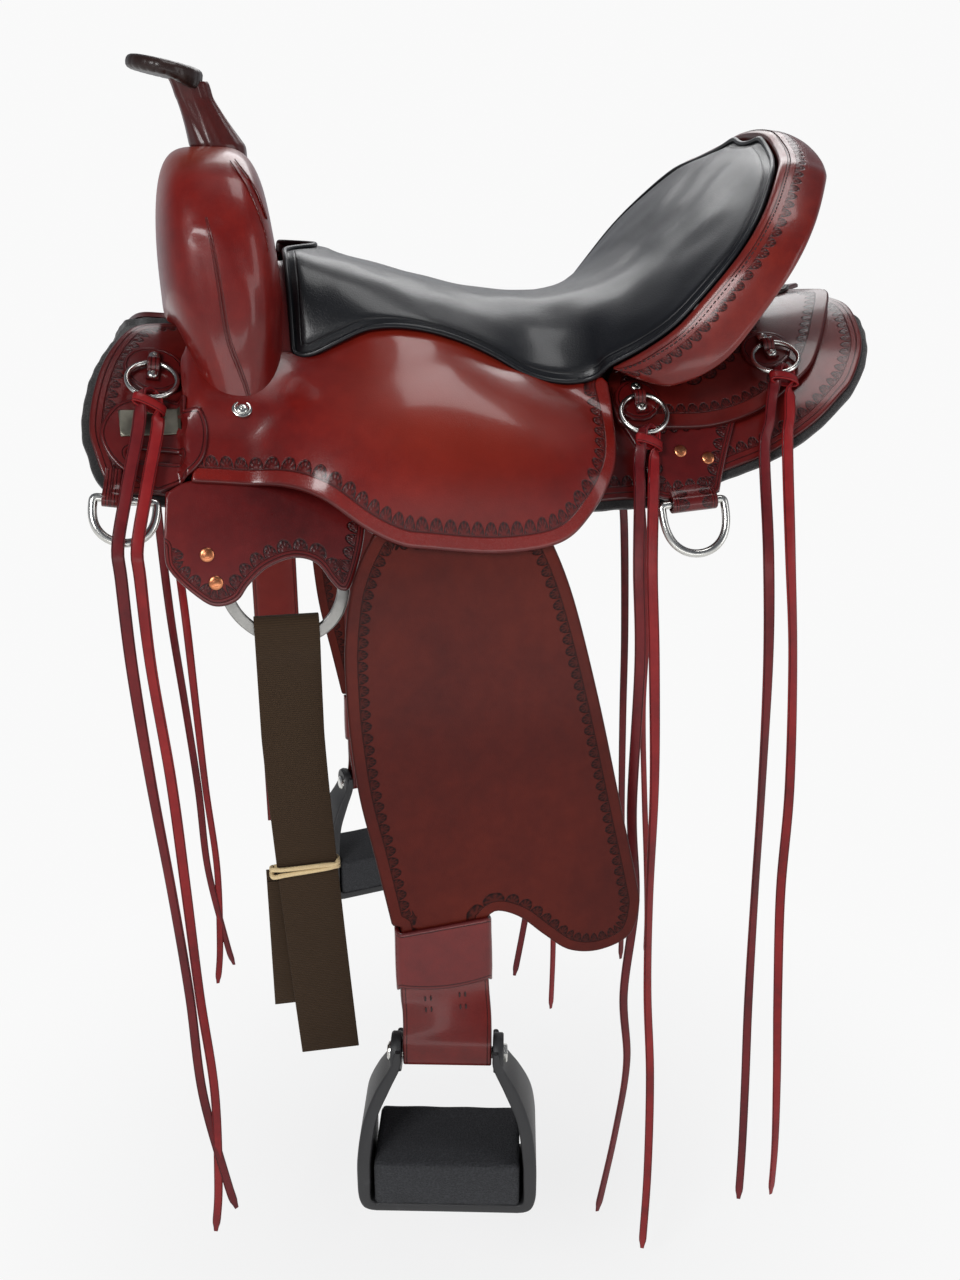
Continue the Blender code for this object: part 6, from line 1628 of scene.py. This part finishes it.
# Rosettes, clips, string rings and laces: place x and s, height n, rosette radius
CLIPS = {
    "front": (-0.2650, 0.1080, PLATE_IN + 0.0026 + 0.0004, 0.0225),
    "middle": (0.1010, 0.1360, BACK_OUT + 0.0004, 0.0180),
    "rear": (0.2150, 0.1060, BACK_OUT + 0.0004, 0.0200)}
RING_WIRE, RING_RADIUS, CLIP_PLAY = 0.0020, 0.0180, 0.0012
CLIP_HOLE = RING_WIRE + CLIP_PLAY
CLIP_RISE = 0.0024 + CLIP_HOLE + 0.0006
LACES = {
    "front": {
        "top": 0.2100, "hang": 0.1865,
        "over": [(0.165, 0.0250), (0.190, 0.0240), (0.2125, 0.0262), (0.244, 0.0285)],
        "first": [(-0.2945, -0.130), (-0.2940, -0.200), (-0.2900, -0.300), (-0.2830, -0.400),
                  (-0.2770, -0.500), (-0.2740, -0.600), (-0.2600, -0.700), (-0.2540, -0.729)],
        "second": [(-0.2815, -0.130), (-0.2805, -0.200), (-0.2750, -0.300), (-0.2720, -0.400),
                   (-0.2690, -0.500), (-0.2640, -0.600), (-0.2680, -0.700), (-0.2740, -0.752)]},
    "middle": {
        "top": 0.1925, "hang": 0.1900,
        "over": [(0.185, 0.0212), (0.205, 0.0210)],
        "first": [(0.0910, -0.150), (0.0960, -0.230), (0.0955, -0.360), (0.1020, -0.450),
                  (0.0960, -0.545), (0.1020, -0.620), (0.0940, -0.700), (0.0800, -0.790)],
        "second": [(0.1020, -0.150), (0.1080, -0.230), (0.1140, -0.340), (0.1150, -0.450),
                   (0.1180, -0.545), (0.1250, -0.640), (0.1280, -0.750), (0.1270, -0.845)]},
    "rear": {
        "top": 0.2040, "hang": 0.2000,
        "over": [(0.155, 0.0255), (0.172, 0.0240), (0.192, 0.0200)],
        "first": [(0.1920, -0.140), (0.2000, -0.230), (0.2050, -0.350), (0.2070, -0.450),
                  (0.2100, -0.560), (0.2140, -0.650), (0.2170, -0.730), (0.2180, -0.790)],
        "second": [(0.2100, -0.140), (0.2210, -0.230), (0.2300, -0.350), (0.2310, -0.450),
                   (0.2380, -0.560), (0.2450, -0.650), (0.2500, -0.730), (0.2510, -0.790)]}}


for place, (x, s, n, radius) in CLIPS.items():
    base = frame_at(arch, x, s, n + CLIP_RISE)
    turn = np.linspace(0, 2 * math.pi, 240, endpoint=False)
    wave = radius * (0.985 + 0.020 * np.abs(np.cos(turn * 8)))
    petals = np.stack([x + wave * np.cos(turn), s + wave * np.sin(turn)], -1)
    low = PLATE_IN if place == "front" else n
    put_pair(f"rosette_{place}", sheet(petals, n + 0.0024, low, step=0.0014, grid=0.003,
                                       roll=0.0010, rings=(0.0003, 0.0007, 0.0014, 0.0028)),
             DISC, "saddle", "oxblood_leather", f"string_clip_{place}_{{side}}")
    flat = -CLIP_RISE + 0.0024 - 0.0008 + 0.0028 + 0.0006
    over = CLIP_HOLE + 0.0028 * 0.8
    path = [(-0.0145, flat - 0.0012), (-0.0120, flat - 0.0010), (-0.0080, flat - 0.0008),
            (-over, flat + 0.0004)]
    path += [((over - 0.0012) * math.cos(t), (over - 0.0012) * math.sin(t))
             for t in np.radians([155, 125, 90, 55, 25])]
    path += [(over, flat + 0.0004), (0.0080, flat - 0.0008), (0.0120, flat - 0.0010),
             (0.0145, flat - 0.0012)]
    line = through(np.array([(0, y, z) for y, z in path]), 5)
    face = np.cross([1.0, 0, 0], unit(np.gradient(line, axis=0)))
    strap = sweep(line, rounded(0.0092, 0.0022), face)
    put_pair(f"clip_strap_{place}", moved(strap, base), DISC, "saddle", "oxblood_leather",
             f"string_clip_{place}_{{side}}")
    heads = meshes(*[screw(base @ Matrix.Translation((0, y, flat + 0.0002)), 0.0040, 0.0018)
                     for y in (-0.0098, 0.0098)])
    put_pair(f"clip_screws_{place}", heads, STEEL, "saddle", "oxblood_leather",
             f"string_clip_{place}_{{side}}", sharp=50)
    turn = np.linspace(0, 2 * math.pi, 72, endpoint=False)
    wire = np.stack([RING_RADIUS * np.cos(turn),
                     RING_RADIUS * np.sin(turn) - RING_RADIUS + CLIP_PLAY * 0.4, turn * 0], -1)
    put_pair(f"string_ring_wire_{place}",
             moved(sweep(wire, circle(RING_WIRE, 12), (0, 0, 1), closed=True), base), STEEL,
             f"string_ring_body_{place}_{{side}}", "stainless_steel",
             f"string_ring_{place}_{{side}}")

    lace = LACES[place]
    clear = RING_WIRE + 0.0024
    bottom = -2 * RING_RADIUS + CLIP_PLAY * 0.4
    fold = [(-0.0060 + 0.012 * k / 12, bottom + clear * math.sin(math.pi * k / 12) * 1.02,
             clear * math.cos(math.pi * k / 12) * 1.02) for k in range(13)]
    fold = carried(base, fold)
    ring_s = s + 2 * RING_RADIUS
    last = lace["over"][-1][0]
    beside = []
    for key, sign, start in (("first", -1, fold[6::-1]), ("second", 1, fold[6:])):
        top_x = x + sign * 0.0065
        over_points = [arch(top_x + (lace[key][0][0] - top_x) * (a - ring_s) / (last - ring_s),
                            a, h) for a, h in lace["over"]]
        hanging = []
        for px, pz in lace[key]:
            share = smoothstep((-0.110 - pz) / 0.260)
            hanging.append((px, -(lace["top"] + (lace["hang"] - lace["top"]) * share), pz))
        coarse = np.vstack([spaced(start, 0.0016), through(np.array([start[-1]] + over_points
                                                                    + hanging), 10)[1:]])
        path = spaced(coarse, 0.0045)
        beside.append(path[4])
        centre = carried(base, [(0, bottom, 0)])[0]
        near = np.linalg.norm(path - centre, axis=1)
        radial = unit(path - centre)
        share = smoothstep((near - 0.006) / 0.02)[:, None]
        face = radial * (1 - share) + np.array([0, -1.0, 0.0]) * share
        slow = run_of(path)
        lean = 0.45 * np.sin(slow * 9 + (2 if sign > 0 else 0) + x * 20) * smoothstep(
            (slow - 0.10) / 0.15)
        face = face + np.stack([lean, lean * 0, lean * 0], -1)
        size = 1 - 0.22 * slow / slow[-1] - 0.4 * smoothstep((slow - slow[-1] + 0.012) / 0.012)
        ribbon = sweep(path, rounded(0.0094, 0.0028, 0.45), face, scale=size)
        finish = LACE if sign > 0 else DARK_LACE
        for piece, way in zip(put_pair(f"lace_{place}_{key}", ribbon, finish,
                                       f"string_ring_body_{place}_{{side}}", "lace_leather",
                                       f"saddle_string_{place}_{{side}}"), (1, -1)):
            route = [(float(a), float(b) * way, float(c)) for a, b, c in path]
    across = unit(beside[1] - beside[0])
    away = unit(arch(x, ring_s, 0.030) - arch(x, ring_s, 0.020))
    middle_spot = (beside[0] + beside[1]) / 2 + away * 0.0024
    wide = np.linalg.norm(beside[1] - beside[0]) / 2 + 0.0052
    turn = np.linspace(0, 2 * math.pi, 64, endpoint=False)[:, None]
    hoop = middle_spot + across * wide * np.cos(turn) + away * 0.0040 * np.sin(turn)
    band = sweep(hoop, rounded(0.0078, 0.0019), across * np.cos(turn) + away * np.sin(turn),
                 closed=True)
    put_pair(f"lace_knot_{place}", band, LACE, f"string_ring_body_{place}_{{side}}",
             "lace_leather", f"saddle_string_{place}_{{side}}")

for name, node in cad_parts.items():
    if name.startswith("tree_") or name == "ground_seat":
        node.data.materials.clear()
        node.data.materials.append(WOOD)

# Studio
scene = bpy.context.scene
scene.view_settings.view_transform = "Standard"


def soft_light(name, place, target, size, power):
    light = bpy.data.lights.new(name, "AREA")
    light.shape = "RECTANGLE"
    light.size, light.size_y = size
    light.energy = power
    obj = bpy.data.objects.new(name, light)
    scene.collection.objects.link(obj)
    way = Vector(target) - Vector(place)
    obj.matrix_world = Matrix.Translation(place) @ way.to_track_quat("-Z", "Y").to_matrix().to_4x4()
    return obj


soft_light("key", (-1.5, -1.9, 1.3), (0, 0, -0.1), (0.9, 0.9), 42)
soft_light("top", (0.5, 0.1, 2.2), (0, 0, 0), (1.2, 0.8), 16)
soft_light("fill", (2.0, -1.5, 0.4), (0, 0, -0.2), (0.8, 1.8), 12)
soft_light("low", (-0.1, -2.2, -0.60), (0, 0, -0.15), (2.4, 0.35), 7)
soft_light("rim", (0.6, 2.2, 1.5), (0, 0, 0), (1.6, 1.0), 18)
world = bpy.data.worlds.new("studio")
scene.world = world
world.use_nodes = True
tree = world.node_tree
back = tree.nodes["Background"]
way = tree.nodes.new("ShaderNodeTexCoord")
axes = tree.nodes.new("ShaderNodeSeparateXYZ")
fade = tree.nodes.new("ShaderNodeValToRGB")
tree.links.new(way.outputs["Generated"], axes.inputs[0])
tree.links.new(axes.outputs["Z"], fade.inputs[0])
tree.links.new(fade.outputs[0], back.inputs["Color"])
fade.color_ramp.elements[0].position = 0.05
fade.color_ramp.elements[0].color = (0.80, 0.82, 0.87, 1)
fade.color_ramp.elements[1].position = 0.60
fade.color_ramp.elements[1].color = (0.20, 0.21, 0.24, 1)
back.inputs["Strength"].default_value = 0.58
white = tree.nodes.new("ShaderNodeBackground")
white.inputs["Color"].default_value = (0.95, 0.95, 0.95, 1)
ray = tree.nodes.new("ShaderNodeLightPath")
choose = tree.nodes.new("ShaderNodeMixShader")
tree.links.new(ray.outputs["Is Camera Ray"], choose.inputs[0])
tree.links.new(back.outputs[0], choose.inputs[1])
tree.links.new(white.outputs[0], choose.inputs[2])
tree.links.new(choose.outputs[0], tree.nodes["World Output"].inputs["Surface"])

# The floor turns into the white of the backdrop with distance
floor_finish = Finish("floor_pale")
haze = floor_finish.noise(3, 3, 0.5)
floor_finish.set(color=floor_finish.mix(haze, (0.80, 0.80, 0.80), (0.84, 0.84, 0.84)),
                 roughness=0.8 + haze * 0.1)
reach = floor_finish.add("VectorMath", {"operation": "LENGTH"}, [floor_finish.point], "Value")
glow = floor_finish.tree.nodes.new("ShaderNodeEmission")
glow.inputs["Color"].default_value = (0.95, 0.95, 0.95, 1)
join = floor_finish.tree.nodes.new("ShaderNodeMixShader")
floor_finish.link(reach.soft(0.25, 1.1), join.inputs[0])
floor_finish.tree.links.new(floor_finish.shader.outputs[0], join.inputs[1])
floor_finish.tree.links.new(glow.outputs[0], join.inputs[2])
floor_finish.tree.links.new(join.outputs[0],
                            floor_finish.tree.nodes["Material Output"].inputs["Surface"])
turn = np.linspace(0, 2 * math.pi, 64, endpoint=False)
floor = bpy.data.meshes.new("floor")
floor.from_pydata([(6 * math.cos(t), 6 * math.sin(t), -0.875) for t in turn], [],
                  [tuple(range(64))])
floor.materials.append(floor_finish.material)
floor = bpy.data.objects.new("floor", floor)
scene.collection.objects.link(floor)
floor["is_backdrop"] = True

low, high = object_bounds()
